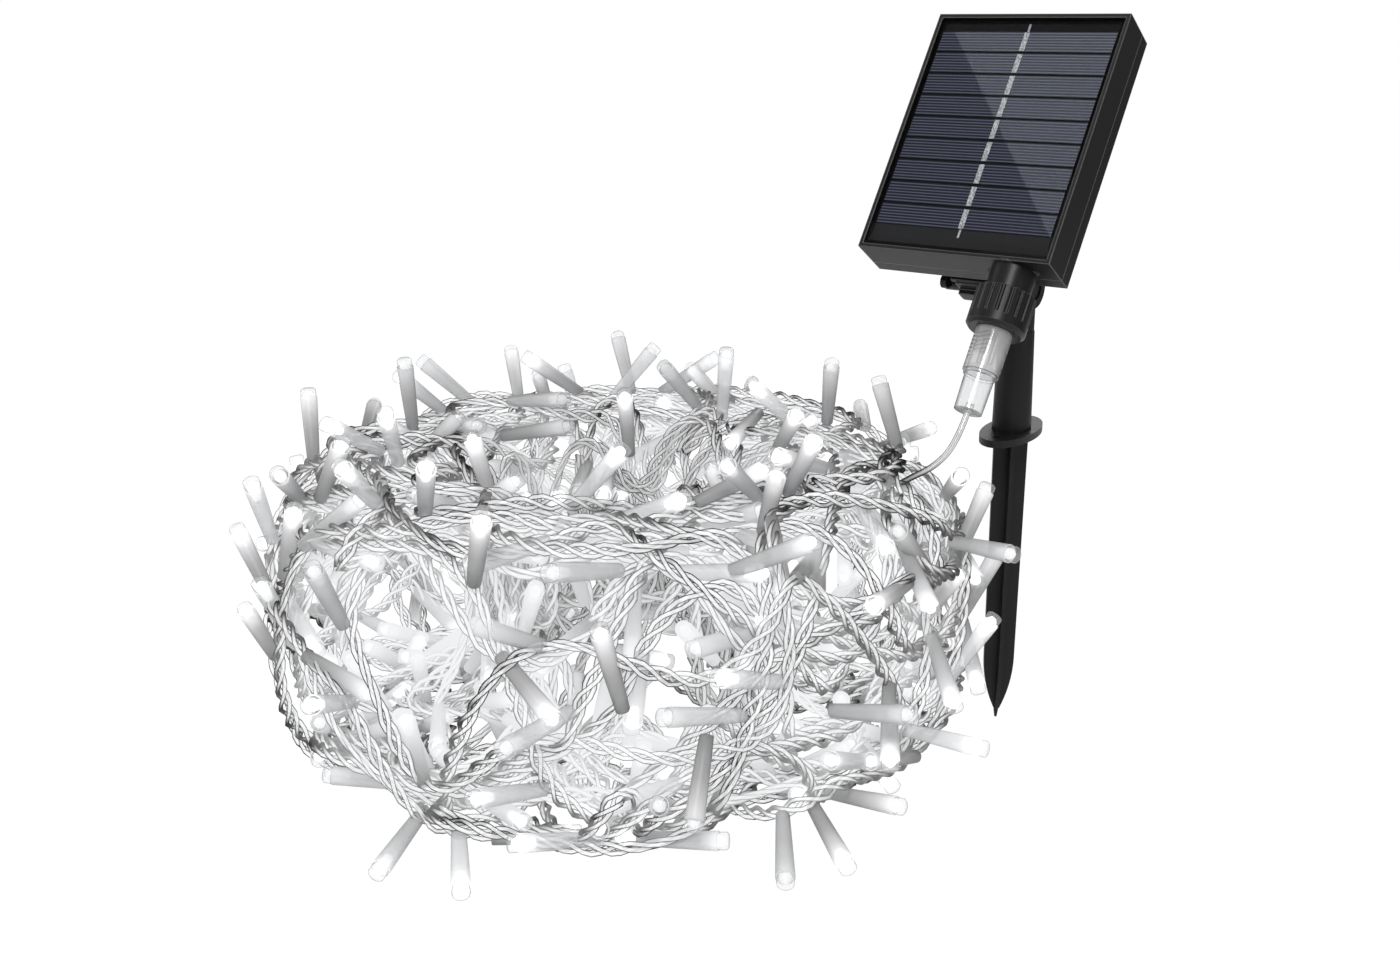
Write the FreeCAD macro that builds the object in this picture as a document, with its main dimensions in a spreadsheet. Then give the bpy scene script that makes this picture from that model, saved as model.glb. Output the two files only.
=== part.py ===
"""Solar string lights: a tilting solar head on a ground stake, and the light string wound in a loose bundle.

Frame: millimetres, origin at the tip of the stake on the ground, X along the tilt hinge (the panel's width),
+Y behind the panel, +Z up. The head's pieces are drawn in the head's own frame: x along the hinge, y up the
panel and z out of its sunny face, with the hinge axis as origin.
"""

import math
import os
import re

import FreeCAD, Part
import Sketcher
from FreeCAD import Placement, Rotation, Vector

SIZES = {
    # panel head
    "panel_width": 80, "panel_height": 103, "panel_depth": 24.6, "panel_shift": 13, "panel_low": 5.5,
    "hinge_gap": 10.1, "cover_depth": 10.8, "rear_chamfer": 4.9, "shell": 1.8,
    "rim": 1.6, "recess": 0.5, "glaze": 1.0, "backing": 1.6, "ledge": 2.0, "slip": 0.1,
    "cell_count": 9, "cell_wide": 73, "cell_tall": 8.6, "cell_gap": 0.9, "cell_thick": 0.3, "low_band": 9.5,
    "bus_wide": 2.1, "bus_thick": 0.15, "tail_wide": 0.8, "tail_long": 3.5,
    "seal_wide": 0.7, "seal_deep": 0.8,
    # inside the head
    "corner_x": 31.5, "corner_y": 43, "post": 3.0, "screw_shank": 1.25, "screw_head": 2.6, "screw_long": 14,
    "cell_pack_wide": 44, "cell_pack_tall": 44, "cell_pack_thick": 8,
    "pcb_wide": 58, "pcb_tall": 26, "pcb_thick": 1.6, "pcb_low": 14, "pcb_lift": 5.4,
    "key_apart": 20, "key_rise": 30, "key_cap": 4.9, "key_hole": 5.0, "key_proud": 0.8, "key_flange": 6.2,
    # plug and socket, measured down from the underside of the head
    "port_x": 22.5, "port_mid": 9.8, "barrel": 3.15, "spigot": 8.3, "spigot_long": 14, "port_bore": 5.8,
    "dome": 8.6, "dome_long": 8.6, "port_deep": 9.5, "pin_apart": 4.4, "pin_thick": 0.8,
    "nut_rad": 11.2, "nut_start": 9.5, "nut_end": 24.5, "nut_collar": 4.5, "nut_rib": 1.2, "rib_count": 20,
    "nut_slip": 0.07, "washer": 1.0, "plug_rad": 6.85, "plug_nose": 5.7, "plug_flange": 8.2,
    "plug_end": 41, "boot_rad": 5.6, "boot_end": 56, "plug_wall": 1.2, "lead_rad": 1.5,
    # tilt clamp
    "hinge_high": 179, "tilt_rest": 56.5, "knuckle_half": 7, "knuckle_rad": 8, "lug_from": 7.3, "lug_to": 22,
    "lug_rad": 7.5, "bolt_rad": 2.5, "bolt_hole": 2.55, "bolt_head": 4.6, "bolt_head_deep": 3,
    "bolt_end": 32, "disc_rad": 5.5, "disc_thick": 1.2, "hub_rad": 4.2, "hub_long": 7.3,
    "wing_reach": 9.4, "wing_half": 2.6, "wing_thick": 2.4,
    # stake
    "flange_under": 120.3, "flange_thick": 2.8, "flange_long": 23.5, "flange_short": 10.4, "flange_turn": 9,
    "ear_apart": 34, "ear_hole": 1.5, "tube_foot": 7.65, "tube_neck": 6.85, "tube_top": 162, "tube_bore": 4.8,
    "neck_rad": 6.6, "spigot_rad": 4.75, "neck_deep": 14,
    "blade_top": 6.7, "blade_low": 6.1, "blade_thick": 1.7, "point_high": 27, "peg_high": 4, "peg_rad": 1.15,
    "blade_turn": 37.6, "spike_plug": 26,
    # string
    "coil_x": -119.5, "coil_y": -98.7, "coil_crest": 92, "coil_wide": 96, "coil_tall": 120, "coil_round": 36,
    "lamp_long": 28, "lamp_wide": 3.45, "lamp_thin": 2.45, "lens_rad": 3.1, "lens_long": 3.5, "lamp_sunk": 5,
    "formula_lamps": 26,
}
# The lead from the plug's boot to the bundle: each point after the exit, in mm.
LEAD_POINTS = [(9.2, -61.9, 130.7), (2.0, -64.5, 121.5), (-10.0, -61.5, 114.5), (-21.0, -57.0, 107.0)]
# Lamps placed one by one: place round the bundle and round its section, then the way each one leans
# from the section's outward line, all in degrees.
PLACED_LAMPS = [
    (66, 87, 24, 148), (127, 76, 28, 300), (139, 74, 54, 0), (120, 74, 56, 180), (132, 92, 40, 184),
    (154, 72, 38, 252), (93, 107, 16, 248), (196, 90, 10, 8), (218, 90, 58, 320), (195, 64, 70, 200),
    (244, 63, 50, 44), (234, 25, 56, 60), (238, 55, 50, 4), (22, 17, 60, 50), (32, 40, 64, 160),
    (18, -16, 76, 52), (26, -2, 66, 60), (0, 24, 84, 182), (335, 4, 84, 164), (328, 0, 84, 170),
    (342, -2, 26, 30), (354, -1, 62, 232), (304, 2, 38, 192), (300, -17, 48, 144), (307, -53, 84, 160),
    (313, -54, 84, 16), (277, -49, 34, 75), (284, -49, 38, 35), (337, -49, 38, 140), (343, -50, 34, 115),
    (311, 2, 84, 104), (267, 15, 46, 76), (262, 76, 32, 296), (271, 82, 36, 328), (311, 55, 58, 208),
    (289, 44, 30, 52), (144, 147, 48, 60), (133, 148, 46, 76), (20, 94, 68, 148), (6, 26, 76, 140),
    (268, -2, 34, 44), (236, -8, 76, 156), (231, 3, 66, 130), (60, 98, 40, 60), (64, 67, 76, 336),
    (62, 49, 52, 300),
]

doc = FreeCAD.newDocument("SolarStringLights")
sheet = doc.addObject("Spreadsheet::Sheet", "Sizes")
for row, (alias, value) in enumerate(SIZES.items(), start=1):
    sheet.set(f"A{row}", alias)
    sheet.set(f"B{row}", str(value))
    sheet.setAlias(f"B{row}", alias)
doc.recompute()

nodes = []


def size(alias):
    """A driving dimension, as the sheet holds it."""
    return float(getattr(sheet, alias))


def bind(thing, prop, formula):
    """Binds a property to a formula of the sheet's aliases."""
    text = re.sub(r"[a-z_]+", lambda m: "Sizes." + m.group() if m.group() in SIZES else m.group(), formula)
    thing.setExpression(prop, text)


def at(thing, x, y, z):
    for axis, formula in zip("xyz", (x, y, z)):
        bind(thing, "Placement.Base." + axis, formula)


def box(name, lengths, corner):
    made = doc.addObject("Part::Box", name)
    for prop, formula in zip(("Length", "Width", "Height"), lengths):
        bind(made, prop, formula)
    at(made, *corner)
    return made


def centred_box(name, lengths, centre, low):
    """A box centred on (x, y), with its lowest face at z = low."""
    wide, tall, thick = lengths
    x, y = centre
    return box(name, lengths, (f"{x} - ({wide}) / 2", f"{y} - ({tall}) / 2", low))


ALONG = {"x": Rotation(Vector(0, 1, 0), 90), "-x": Rotation(Vector(0, 1, 0), -90),
         "y": Rotation(Vector(1, 0, 0), -90), "-y": Rotation(Vector(1, 0, 0), 90),
         "z": Rotation(), "-z": Rotation(Vector(1, 0, 0), 180)}


def cylinder(name, radius, length, start, along="z"):
    made = doc.addObject("Part::Cylinder", name)
    made.Placement = Placement(Vector(), ALONG[along])
    bind(made, "Radius", radius)
    bind(made, "Height", length)
    at(made, *start)
    return made


def cone(name, first, second, length, start, along="z"):
    made = doc.addObject("Part::Cone", name)
    made.Placement = Placement(Vector(), ALONG[along])
    bind(made, "Radius1", first)
    bind(made, "Radius2", second)
    bind(made, "Height", length)
    at(made, *start)
    return made


def frustum(name, wide, tall, inset, centre, large_at, depth):
    """A block whose four sides slope inwards by `inset` as it goes back from z = large_at."""
    made = doc.addObject("Part::Wedge", name)
    made.Placement = Placement(Vector(), ALONG["y"])
    for prop, formula in (
        ("Xmin", "0"), ("Xmax", wide), ("Zmin", "0"), ("Zmax", tall), ("Ymin", "0"), ("Ymax", depth),
        ("X2min", inset), ("X2max", f"{wide} - ({inset})"), ("Z2min", inset),
        ("Z2max", f"{tall} - ({inset})"),
    ):
        bind(made, prop, formula)
    x, y = centre
    at(made, f"{x} - ({wide}) / 2", f"{y} - ({tall}) / 2", large_at)
    return made


def fuse(name, *pieces):
    made = doc.addObject("Part::MultiFuse", name)
    made.Shapes = list(pieces)
    return made


def cut(name, base, *tools):
    made = doc.addObject("Part::Cut", name)
    made.Base = base
    made.Tool = tools[0] if len(tools) == 1 else fuse(name + "_tools", *tools)
    return made


def group(name, *pieces):
    made = doc.addObject("Part::Compound", name)
    made.Links = list(pieces)
    return made


def solid(name, shape):
    made = doc.addObject("Part::Feature", name)
    made.Shape = shape
    return made


def sub_part(label, made, placement=None):
    """Labels the finished piece, which names its file, and puts it in its place."""
    made.Label = label
    if placement is not None:
        made.Placement = placement
    nodes.append(made)
    return made


HEAD = Placement(Vector(0, 0, size("hinge_high")), Rotation(Vector(1, 0, 0), size("tilt_rest")))
MID = ("0 - panel_shift", "panel_height / 2 - panel_low")
FRONT = "(hinge_gap + panel_depth)"
SPLIT = "(hinge_gap + cover_depth)"
LEDGE_TOP = f"({FRONT} - recess - glaze - backing)"
CELLS_LOW = "(0 - panel_low + rim + low_band)"
UNDER = "(0 - panel_low)"
PORT = ("(port_x - panel_shift)", f"({FRONT} - port_mid)")


def four(maker, name, x, y):
    """The same piece at the four corners of a rectangle about the panel's middle."""
    return [
        maker(f"{name}{i}", f"{MID[0]} + ({sx} * {x})", f"{MID[1]} + ({sy} * {y})")
        for i, (sx, sy) in enumerate(((-1, -1), (1, -1), (1, 1), (-1, 1)))
    ]


# ---- solar panel and its housing -----------------------------------------------------------------------


def front_bezel():
    body = centred_box("BezelBody", ("panel_width", "panel_height", "panel_depth - cover_depth"), MID, SPLIT)
    recess = centred_box(
        "BezelRecess", ("panel_width - 2 * rim", "panel_height - 2 * rim", "10"), MID, LEDGE_TOP
    )
    window = centred_box(
        "BezelWindow", ("panel_width - 2 * rim - 2 * ledge", "panel_height - 2 * rim - 2 * ledge", "40"),
        MID, SPLIT
    )
    hollow = centred_box(
        "BezelHollow",
        ("panel_width - 2 * shell", "panel_height - 2 * shell", f"{LEDGE_TOP} - shell - {SPLIT} + 5"),
        MID,
        f"{SPLIT} - 5",
    )
    shell_piece = cut("BezelShell", body, recess, window, hollow)
    posts = four(
        lambda n, x, y: cylinder(n, "post", f"{LEDGE_TOP} - {SPLIT} - 0.5", (x, y, SPLIT)), "BezelPost",
        "corner_x", "corner_y",
    )
    webs = four(
        lambda n, x, y: box(
            n, ("post * 2", "1.2", f"{LEDGE_TOP} - {SPLIT} - 0.5"), (f"{x} - post", f"{y} - 0.6", SPLIT)
        ),
        "BezelWeb", "(panel_width / 2 - shell - post + 0.5)", "corner_y",
    )
    bores = four(
        lambda n, x, y: cylinder(n, "screw_shank + 0.05", "screw_long - 2", (x, y, f"{SPLIT} - 2")),
        "BezelBore",
        "corner_x", "corner_y",
    )
    seal_groove = seal_ring("BezelGroove", f"{SPLIT} - 1", "seal_deep + 1")
    port = cylinder("BezelPort", "barrel + 0.1", "shell + 4", (PORT[0], f"{UNDER} - 1", PORT[1]), "y")
    marks = diamond_mark()
    sub_part(
        "front_bezel", cut(
            "Bezel", fuse("BezelSolid", shell_piece, *posts, *webs), *bores, seal_groove, port, marks
        ),
             HEAD
    )


def seal_ring(name, low, deep):
    outer = centred_box(name + "Outer", ("panel_width - 1.2", "panel_height - 1.2", deep), MID, low)
    inner = centred_box(
        name + "Inner", (
            "panel_width - 1.2 - 2 * seal_wide", "panel_height - 1.2 - 2 * seal_wide", f"{deep} + 2"
        ),
        MID, f"{low} - 1",
    )
    return cut(name, outer, inner)


def diamond_mark():
    """A thin moulded diamond round the socket, sunk in the underside."""
    flat = Rotation(Vector(0, 1, 0), 45)
    blocks = []
    for name, side in (("MarkOuter", 15.4), ("MarkInner", 14.4)):
        block = Part.makeBox(side, 1.0, side, Vector(-side / 2, -0.6, -side / 2))
        blocks.append(block)
    ring = solid("Mark", blocks[0].cut(blocks[1]))
    x = size("port_x") - size("panel_shift")
    z = size("hinge_gap") + size("panel_depth") - size("port_mid")
    ring.Placement = Placement(Vector(x, -size("panel_low"), z), flat)
    return ring


def rear_housing():
    plate = centred_box(
        "RearPlate", ("panel_width", "panel_height", "cover_depth - rear_chamfer"), MID,
        "(hinge_gap + rear_chamfer)"
    )
    slope = frustum(
        "RearSlope", "panel_width", "panel_height", "rear_chamfer", MID,
        "(hinge_gap + rear_chamfer)", "rear_chamfer"
    )
    inner = ("(panel_width - 2 * shell)", "(panel_height - 2 * shell)")
    hollow = fuse(
        "RearHollow",
        centred_box(
            "RearHollowPlate", (*inner, "cover_depth - rear_chamfer + 1"), MID, "(hinge_gap + rear_chamfer)"
        ),
        frustum("RearHollowSlope", *inner, "(rear_chamfer - shell)", MID, "(hinge_gap + rear_chamfer)",
                "(rear_chamfer - shell)"),
    )
    shell_piece = cut("RearShell", fuse("RearOuter", plate, slope), hollow)
    bosses = four(
        lambda n, x, y: cylinder(n, "post + 0.6", "cover_depth - 0.5", (x, y, "hinge_gap + 0.5")), "RearBoss",
        "corner_x", "corner_y",
    )
    pads = [
        cylinder(f"RearPad{i}", "2.4", "pcb_lift + 0.5", (x, y, "hinge_gap + shell - 0.5"))
        for i, (x, y) in enumerate(board_corners())
    ]
    holes = four(
        lambda n, x, y: cylinder(n, "screw_shank + 0.3", "20", (x, y, "hinge_gap - 1")), "RearHole",
        "corner_x", "corner_y",
    )
    sinks = four(
        lambda n, x, y: cylinder(n, "screw_head + 0.2", "3", (x, y, "hinge_gap - 1")), "RearSink",
        "corner_x", "corner_y",
    )
    pad_bores = [
        cylinder(f"RearPadBore{i}", "1.05", "pcb_lift", (x, y, "hinge_gap + shell + 0.6"))
        for i, (x, y) in enumerate(board_corners())
    ]
    keys = [
        cylinder(f"RearKey{i}", "key_hole", "6", (x, y, "hinge_gap - 2"))
        for i, (x, y) in enumerate(key_places())
    ]
    lug_bores = [
        cylinder(f"RearLugBore{i}", "1.35", "6", (x, y, "hinge_gap - 1"))
        for i, (x, y) in enumerate(lug_screws())
    ]
    whole = fuse("RearSolid", shell_piece, *bosses, *pads)
    sub_part("rear_housing", cut("Rear", whole, *holes, *sinks, *pad_bores, *keys, *lug_bores), HEAD)


def board_corners():
    half = "(pcb_wide / 2 - 3)"
    return [
        (f"{MID[0]} + {sx} * {half}", y) for y in ("pcb_low + 3", "pcb_low + pcb_tall - 3") for sx in (-1, 1)
    ]


def key_places():
    return [(f"{MID[0]} - key_apart / 2", "key_rise"), (f"{MID[0]} + key_apart / 2", "key_rise")]


def lug_screws():
    return [(f"0 - lug_from - {along}", "11.5") for along in ("3.2", "11.5")]


def laminate():
    plate = ("panel_width - 2 * rim - 2 * slip", "panel_height - 2 * rim - 2 * slip")
    sub_part(
        "solar_backing_board",
        group("Backing", centred_box("BackingPlate", (*plate, "backing"), MID, LEDGE_TOP)),
             HEAD
    )
    cells_at = f"{LEDGE_TOP} + backing"
    cells, ribbons = [], []
    for i in range(int(size("cell_count"))):
        low = f"{CELLS_LOW} + {i} * (cell_tall + cell_gap)"
        cells.append(
            box(
                f"Cell{i}", ("cell_wide", "cell_tall", "cell_thick"),
                (f"{MID[0]} - cell_wide / 2", low, cells_at)
            )
        )
        ribbons.append(
            box(f"Ribbon{i}", ("bus_wide", "cell_tall - 0.6", "bus_thick"),
                (f"{MID[0]} - bus_wide / 2", f"{low} + 0.3", f"{cells_at} + cell_thick"))
        )
    top = f"{CELLS_LOW} + cell_count * cell_tall + (cell_count - 1) * cell_gap"
    for name, low in (("TailLow", f"{CELLS_LOW} - tail_long"), ("TailHigh", top)):
        ribbons.append(
            box(name, ("tail_wide", "tail_long", "bus_thick"), (f"{MID[0]} - tail_wide / 2", low, cells_at))
        )
    sub_part("solar_cells", group("Cells", *cells), HEAD)
    sub_part("busbar_ribbon", group("Ribbons", *ribbons), HEAD)
    slab = centred_box("CoverSlab", (*plate, "glaze"), MID, cells_at)
    pocket = box(
        "CoverPocket", (
            "cell_wide + 0.2", f"{top} - {CELLS_LOW} + 2 * tail_long + 0.4", "cell_thick + bus_thick + 0.05"
        ),
        (f"{MID[0]} - cell_wide / 2 - 0.1", f"{CELLS_LOW} - tail_long - 0.2", cells_at),
    )
    sub_part("panel_cover", cut("Cover", slab, pocket), HEAD)


def housing_gasket():
    sub_part("housing_gasket", seal_ring("Gasket", SPLIT, "seal_deep"), HEAD)


def housing_screws():
    heads = four(
        lambda n, x, y: cylinder(n, "screw_head", "1.6", (x, y, "hinge_gap + 0.4")), "ScrewHead", "corner_x",
        "corner_y"
    )
    shanks = four(
        lambda n, x, y: cylinder(n, "screw_shank", "screw_long", (x, y, "hinge_gap + 1.9")), "ScrewShank",
        "corner_x", "corner_y",
    )
    drives = [
        four(lambda n, x, y: centred_box(n, sides, (x, y), "hinge_gap"), name, "corner_x", "corner_y")
        for name, sides in (("DriveWide", ("3", "0.7", "1.1")), ("DriveTall", ("0.7", "3", "1.1")))
    ]
    screws = [
        cut(f"Screw{i}", fuse(f"ScrewSolid{i}", head, shank), wide, tall)
        for i, (head, shank, wide, tall) in enumerate(zip(heads, shanks, *drives))
    ]
    sub_part("housing_screws", group("Screws", *screws), HEAD)


# ---- inside the head ------------------------------------------------------------------------------------


def inside():
    pack_low = "pcb_low + pcb_tall + 6"
    floor = "hinge_gap + shell + 0.5"
    sub_part(
        "battery_pack",
        group("Pack", box("PackBlock", ("cell_pack_wide", "cell_pack_tall", "cell_pack_thick"),
                          (f"{MID[0]} - cell_pack_wide / 2", pack_low, floor))), HEAD,
    )
    pad = box("PadSheet", ("cell_pack_wide - 8", "cell_pack_tall - 8", "0.5"),
              (f"{MID[0]} - cell_pack_wide / 2 + 4", f"{pack_low} + 4", "hinge_gap + shell"))
    sub_part("battery_pad", group("Pad", pad), HEAD)
    board_at = "hinge_gap + shell + pcb_lift"
    leads = [
        cylinder(
            f"PackLead{i}", "0.6", "6.6",
            (f"{MID[0]} - {x}", "pcb_low + pcb_tall - 1", f"{board_at} + pcb_thick + 0.6"),
                 "y"
        )
        for i, x in enumerate(("4", "8"))
    ]
    sub_part("battery_leads", group("PackLeads", *leads), HEAD)
    plate = box(
        "BoardPlate", ("pcb_wide", "pcb_tall", "pcb_thick"), (f"{MID[0]} - pcb_wide / 2", "pcb_low", board_at)
    )
    holes = [
        cylinder(f"BoardHole{i}", "1.2", "6", (x, y, f"{board_at} - 2"))
        for i, (x, y) in enumerate(board_corners())
    ]
    sub_part("circuit_board", cut("Board", plate, *holes), HEAD)
    screws = [
        fuse(f"BoardScrew{i}", cylinder(f"BoardScrewHead{i}", "2", "1.3", (x, y, f"{board_at} + pcb_thick")),
             cylinder(f"BoardScrewShank{i}", "1", "5.5", (x, y, f"{board_at} + pcb_thick - 5")))
        for i, (x, y) in enumerate(board_corners())
    ]
    sub_part("board_screws", group("BoardScrews", *screws), HEAD)
    top = f"{board_at} + pcb_thick"
    parts = [
        box("Controller", ("9", "6", "1.2"), (f"{MID[0]} - 18", "pcb_low + 8", top)),
        box("Charger", ("5", "5", "1.2"), (f"{MID[0]} + 2", "pcb_low + 14", top)),
        box("Coil", ("6", "6", "3"), (f"{MID[0]} + 10", "pcb_low + 6", top)),
        cylinder("Capacitor", "2.5", "4.2", (f"{MID[0]} + 22", "pcb_low + 18", top)),
    ]
    sub_part("board_components", group("Components", *parts), HEAD)
    switches = []
    for i, (x, y) in enumerate(key_places()):
        block = centred_box(f"SwitchBlock{i}", ("6", "6", "2.9"), (x, y), f"{board_at} - 2.9")
        stem = cylinder(f"SwitchStem{i}", "1.5", "0.7", (x, y, f"{board_at} - 3.4"))
        switches.append(fuse(f"Switch{i}", block, stem))
    sub_part("tact_switches", group("Switches", *switches), HEAD)


def buttons():
    for label, (x, y) in zip(("power_button", "mode_button"), key_places()):
        cap = cylinder(label + "Cap", "key_cap", "key_proud + shell + 0.5", (x, y, "hinge_gap - key_proud"))
        flange = cylinder(label + "Flange", "key_flange", "0.5", (x, y, "hinge_gap + shell + 0.1"))
        stem = cylinder(label + "Stem", "1.6", "1", (x, y, "hinge_gap + shell + 0.1"))
        dish = doc.addObject("Part::Sphere", label + "Dish")
        bind(dish, "Radius", "18")
        at(dish, x, y, "hinge_gap - key_proud - 17.6")
        sub_part(label, cut(label + "Body", fuse(label + "Solid", cap, flange, stem), dish), HEAD)


# ---- plug and socket ------------------------------------------------------------------------------------


def down(name, radius, first, last, second=None):
    """A round piece on the plug's axis, between two distances below the underside."""
    start = (PORT[0], f"{UNDER} - ({first})", PORT[1])
    if second is None:
        return cylinder(name, radius, f"({last}) - ({first})", start, "-y")
    return cone(name, radius, second, f"({last}) - ({first})", start, "-y")


def pins(name, radius, first, last):
    made = []
    for i, side in enumerate((-1, 1)):
        start = (f"{PORT[0]} + {side} * pin_apart / 2", f"{UNDER} - ({first})", PORT[1])
        made.append(cylinder(f"{name}{i}", radius, f"({last}) - ({first})", start, "-y"))
    return made


def connector():
    dome = down("Dome", "dome", "0", "dome_long", "spigot")
    spigot = down("Spigot", "spigot", "dome_long - 0.1", "spigot_long")
    barrel = down("Barrel", "barrel", "0 - 7", "0.5")
    bore = down("PortBore", "port_bore", "spigot_long - port_deep", "spigot_long + 1")
    socket = cut(
        "Socket", fuse("SocketSolid", dome, spigot, barrel), bore,
        *pins("PinHole", "pin_thick + 0.02", "0 - 9", "spigot_long - port_deep + 1")
    )
    sub_part("connector_socket", socket, HEAD)
    ring = cut("LockRing", down("LockOuter", "barrel + 0.8", "0 - shell - 2", "0 - shell"),
               down("LockInner", "barrel + 0.02", "0 - shell - 3", "0"))
    sub_part("socket_lock_ring", ring, HEAD)
    sub_part("socket_pins", group("Pins", *pins("Pin", "pin_thick", "0 - 8", "9")), HEAD)
    seal = cut("Seal", down("SealOuter", "plug_flange", "spigot_long", "spigot_long + washer"),
               down("SealInner", "plug_nose + 0.1", "spigot_long - 1", "spigot_long + washer + 1"))
    sub_part("connector_seal", seal, HEAD)


def coupling_nut():
    """A ribbed screw ring: a pad, its stepped bore, and one rib groove patterned round it."""
    body = doc.addObject("PartDesign::Body", "NutBody")
    flat = [f for f in body.Origin.OriginFeatures if f.Role == "XY_Plane"][0]
    tip = disc_feature(body, flat, "PartDesign::Pad", "NutPad", "nut_rad", "nut_end - nut_start")
    tip = disc_feature(body, flat, "PartDesign::Pocket", "NutThread", "spigot + nut_slip",
                       "spigot_long + washer + 2 - nut_start")
    tip = disc_feature(
        body, flat, "PartDesign::Pocket", "NutBore", "plug_rad + nut_slip", "nut_end - nut_start + 1"
    )
    rim_edges = [
        f"Edge{i + 1}" for i, e in enumerate(tip.Shape.Edges)
        if abs(e.Length - 2 * math.pi * size("nut_rad")) < 0.01 and e.BoundBox.ZMax > 1
    ]
    bevel = body.newObject("PartDesign::Chamfer", "NutBevel")
    bevel.Base = (tip, rim_edges)
    bind(bevel, "Size", "nut_rib")
    doc.recompute()
    groove = disc_feature(body, flat, "PartDesign::Pocket", "NutGroove", "nut_rib * 0.75",
                          "nut_end - nut_start - nut_collar", "nut_rad + nut_rib * 0.25")
    pattern = body.newObject("PartDesign::PolarPattern", "NutRibs")
    pattern.Originals = [groove]
    pattern.Axis = (groove.Profile[0], ["N_Axis"])
    bind(pattern, "Occurrences", "rib_count")
    pattern.Angle = 360
    body.Tip = pattern
    doc.recompute()
    x = size("port_x") - size("panel_shift")
    z = size("hinge_gap") + size("panel_depth") - size("port_mid")
    place = Placement(Vector(x, -size("panel_low") - size("nut_start"), z), ALONG["-y"])
    sub_part("coupling_nut", body, HEAD * place)


def disc_feature(body, flat, kind, name, radius, length, offset="0"):
    """A pad or pocket of one circle, `offset` along X from the body's axis, going up from z = 0."""
    sketch = body.newObject("Sketcher::SketchObject", name + "Sketch")
    sketch.AttachmentSupport = (flat, [""])
    sketch.MapMode = "FlatFace"
    sketch.addGeometry(
        Part.Circle(Vector(max(size("nut_rad"), 1) if offset != "0" else 0, 0, 0), Vector(0, 0, 1), 3)
    )
    sketch.addConstraint(Sketcher.Constraint("Radius", 0, 3.0))
    sketch.renameConstraint(0, "radius")
    if offset == "0":
        sketch.addConstraint(Sketcher.Constraint("Coincident", 0, 3, -1, 1))
    else:
        sketch.addConstraint(Sketcher.Constraint("PointOnObject", 0, 3, -1))
        sketch.addConstraint(Sketcher.Constraint("DistanceX", -1, 1, 0, 3, size("nut_rad")))
        sketch.renameConstraint(2, "offset")
        bind(sketch, "Constraints.offset", offset)
    bind(sketch, "Constraints.radius", radius)
    feature = body.newObject(kind, name)
    feature.Profile = sketch
    bind(feature, "Length", length)
    if kind == "PartDesign::Pocket":
        feature.Reversed = True
    body.Tip = feature
    doc.recompute()
    return feature


def plug():
    nose = down("PlugNose", "plug_nose", "spigot_long - port_deep + 1.5", "spigot_long + washer + 0.5")
    flange = down("PlugFlange", "plug_flange", "spigot_long + washer", "spigot_long + washer + 1.9")
    shaft = down("PlugShaft", "plug_rad", "spigot_long + washer + 1", "plug_end")
    hollow = down("PlugHollow", "plug_rad - plug_wall", "nut_end - 1", "plug_end + 1")
    grips = []
    for i in range(6):
        low = f"{UNDER} - nut_end - 4.5 - {i} * 1.5"
        grips.append(
            box(f"Grip{i}", ("5", "0.7", "1"), (f"{PORT[0]} - 4.2", low, f"{PORT[1]} + plug_rad - 1.3"))
        )
    body = cut("PlugShell", fuse("PlugSolid", nose, flange, shaft, *grips), hollow,
               *pins("PlugHole", "pin_thick + 0.35", "0", "nut_end"))
    sub_part("plug_body", body, HEAD)
    contacts = []
    for i, (tube_piece, hole) in enumerate(zip(pins("Sleeve", "pin_thick + 0.3", "4.5", "plug_end - 4"),
                                               pins("SleeveHole", "pin_thick + 0.02", "4", "plug_end"))):
        contacts.append(cut(f"Contact{i}", tube_piece, hole))
    sub_part("plug_contacts", group("Contacts", *contacts), HEAD)
    boot_first = down("BootFirst", "boot_rad + 0.6", "plug_end", "plug_end + 1.2")
    boot_main = down("BootMain", "boot_rad", "plug_end + 1", "boot_end", "boot_rad - 0.35")
    boot_step = down("BootStep", "plug_rad - plug_wall - 0.1", "plug_end - 2", "plug_end + 0.5")
    boot_bore = down("BootBore", "lead_rad + 0.05", "boot_end - 3", "boot_end + 1")
    sub_part("plug_boot", cut("Boot", fuse("BootSolid", boot_first, boot_main, boot_step), boot_bore), HEAD)


# ---- tilt clamp -----------------------------------------------------------------------------------------


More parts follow.
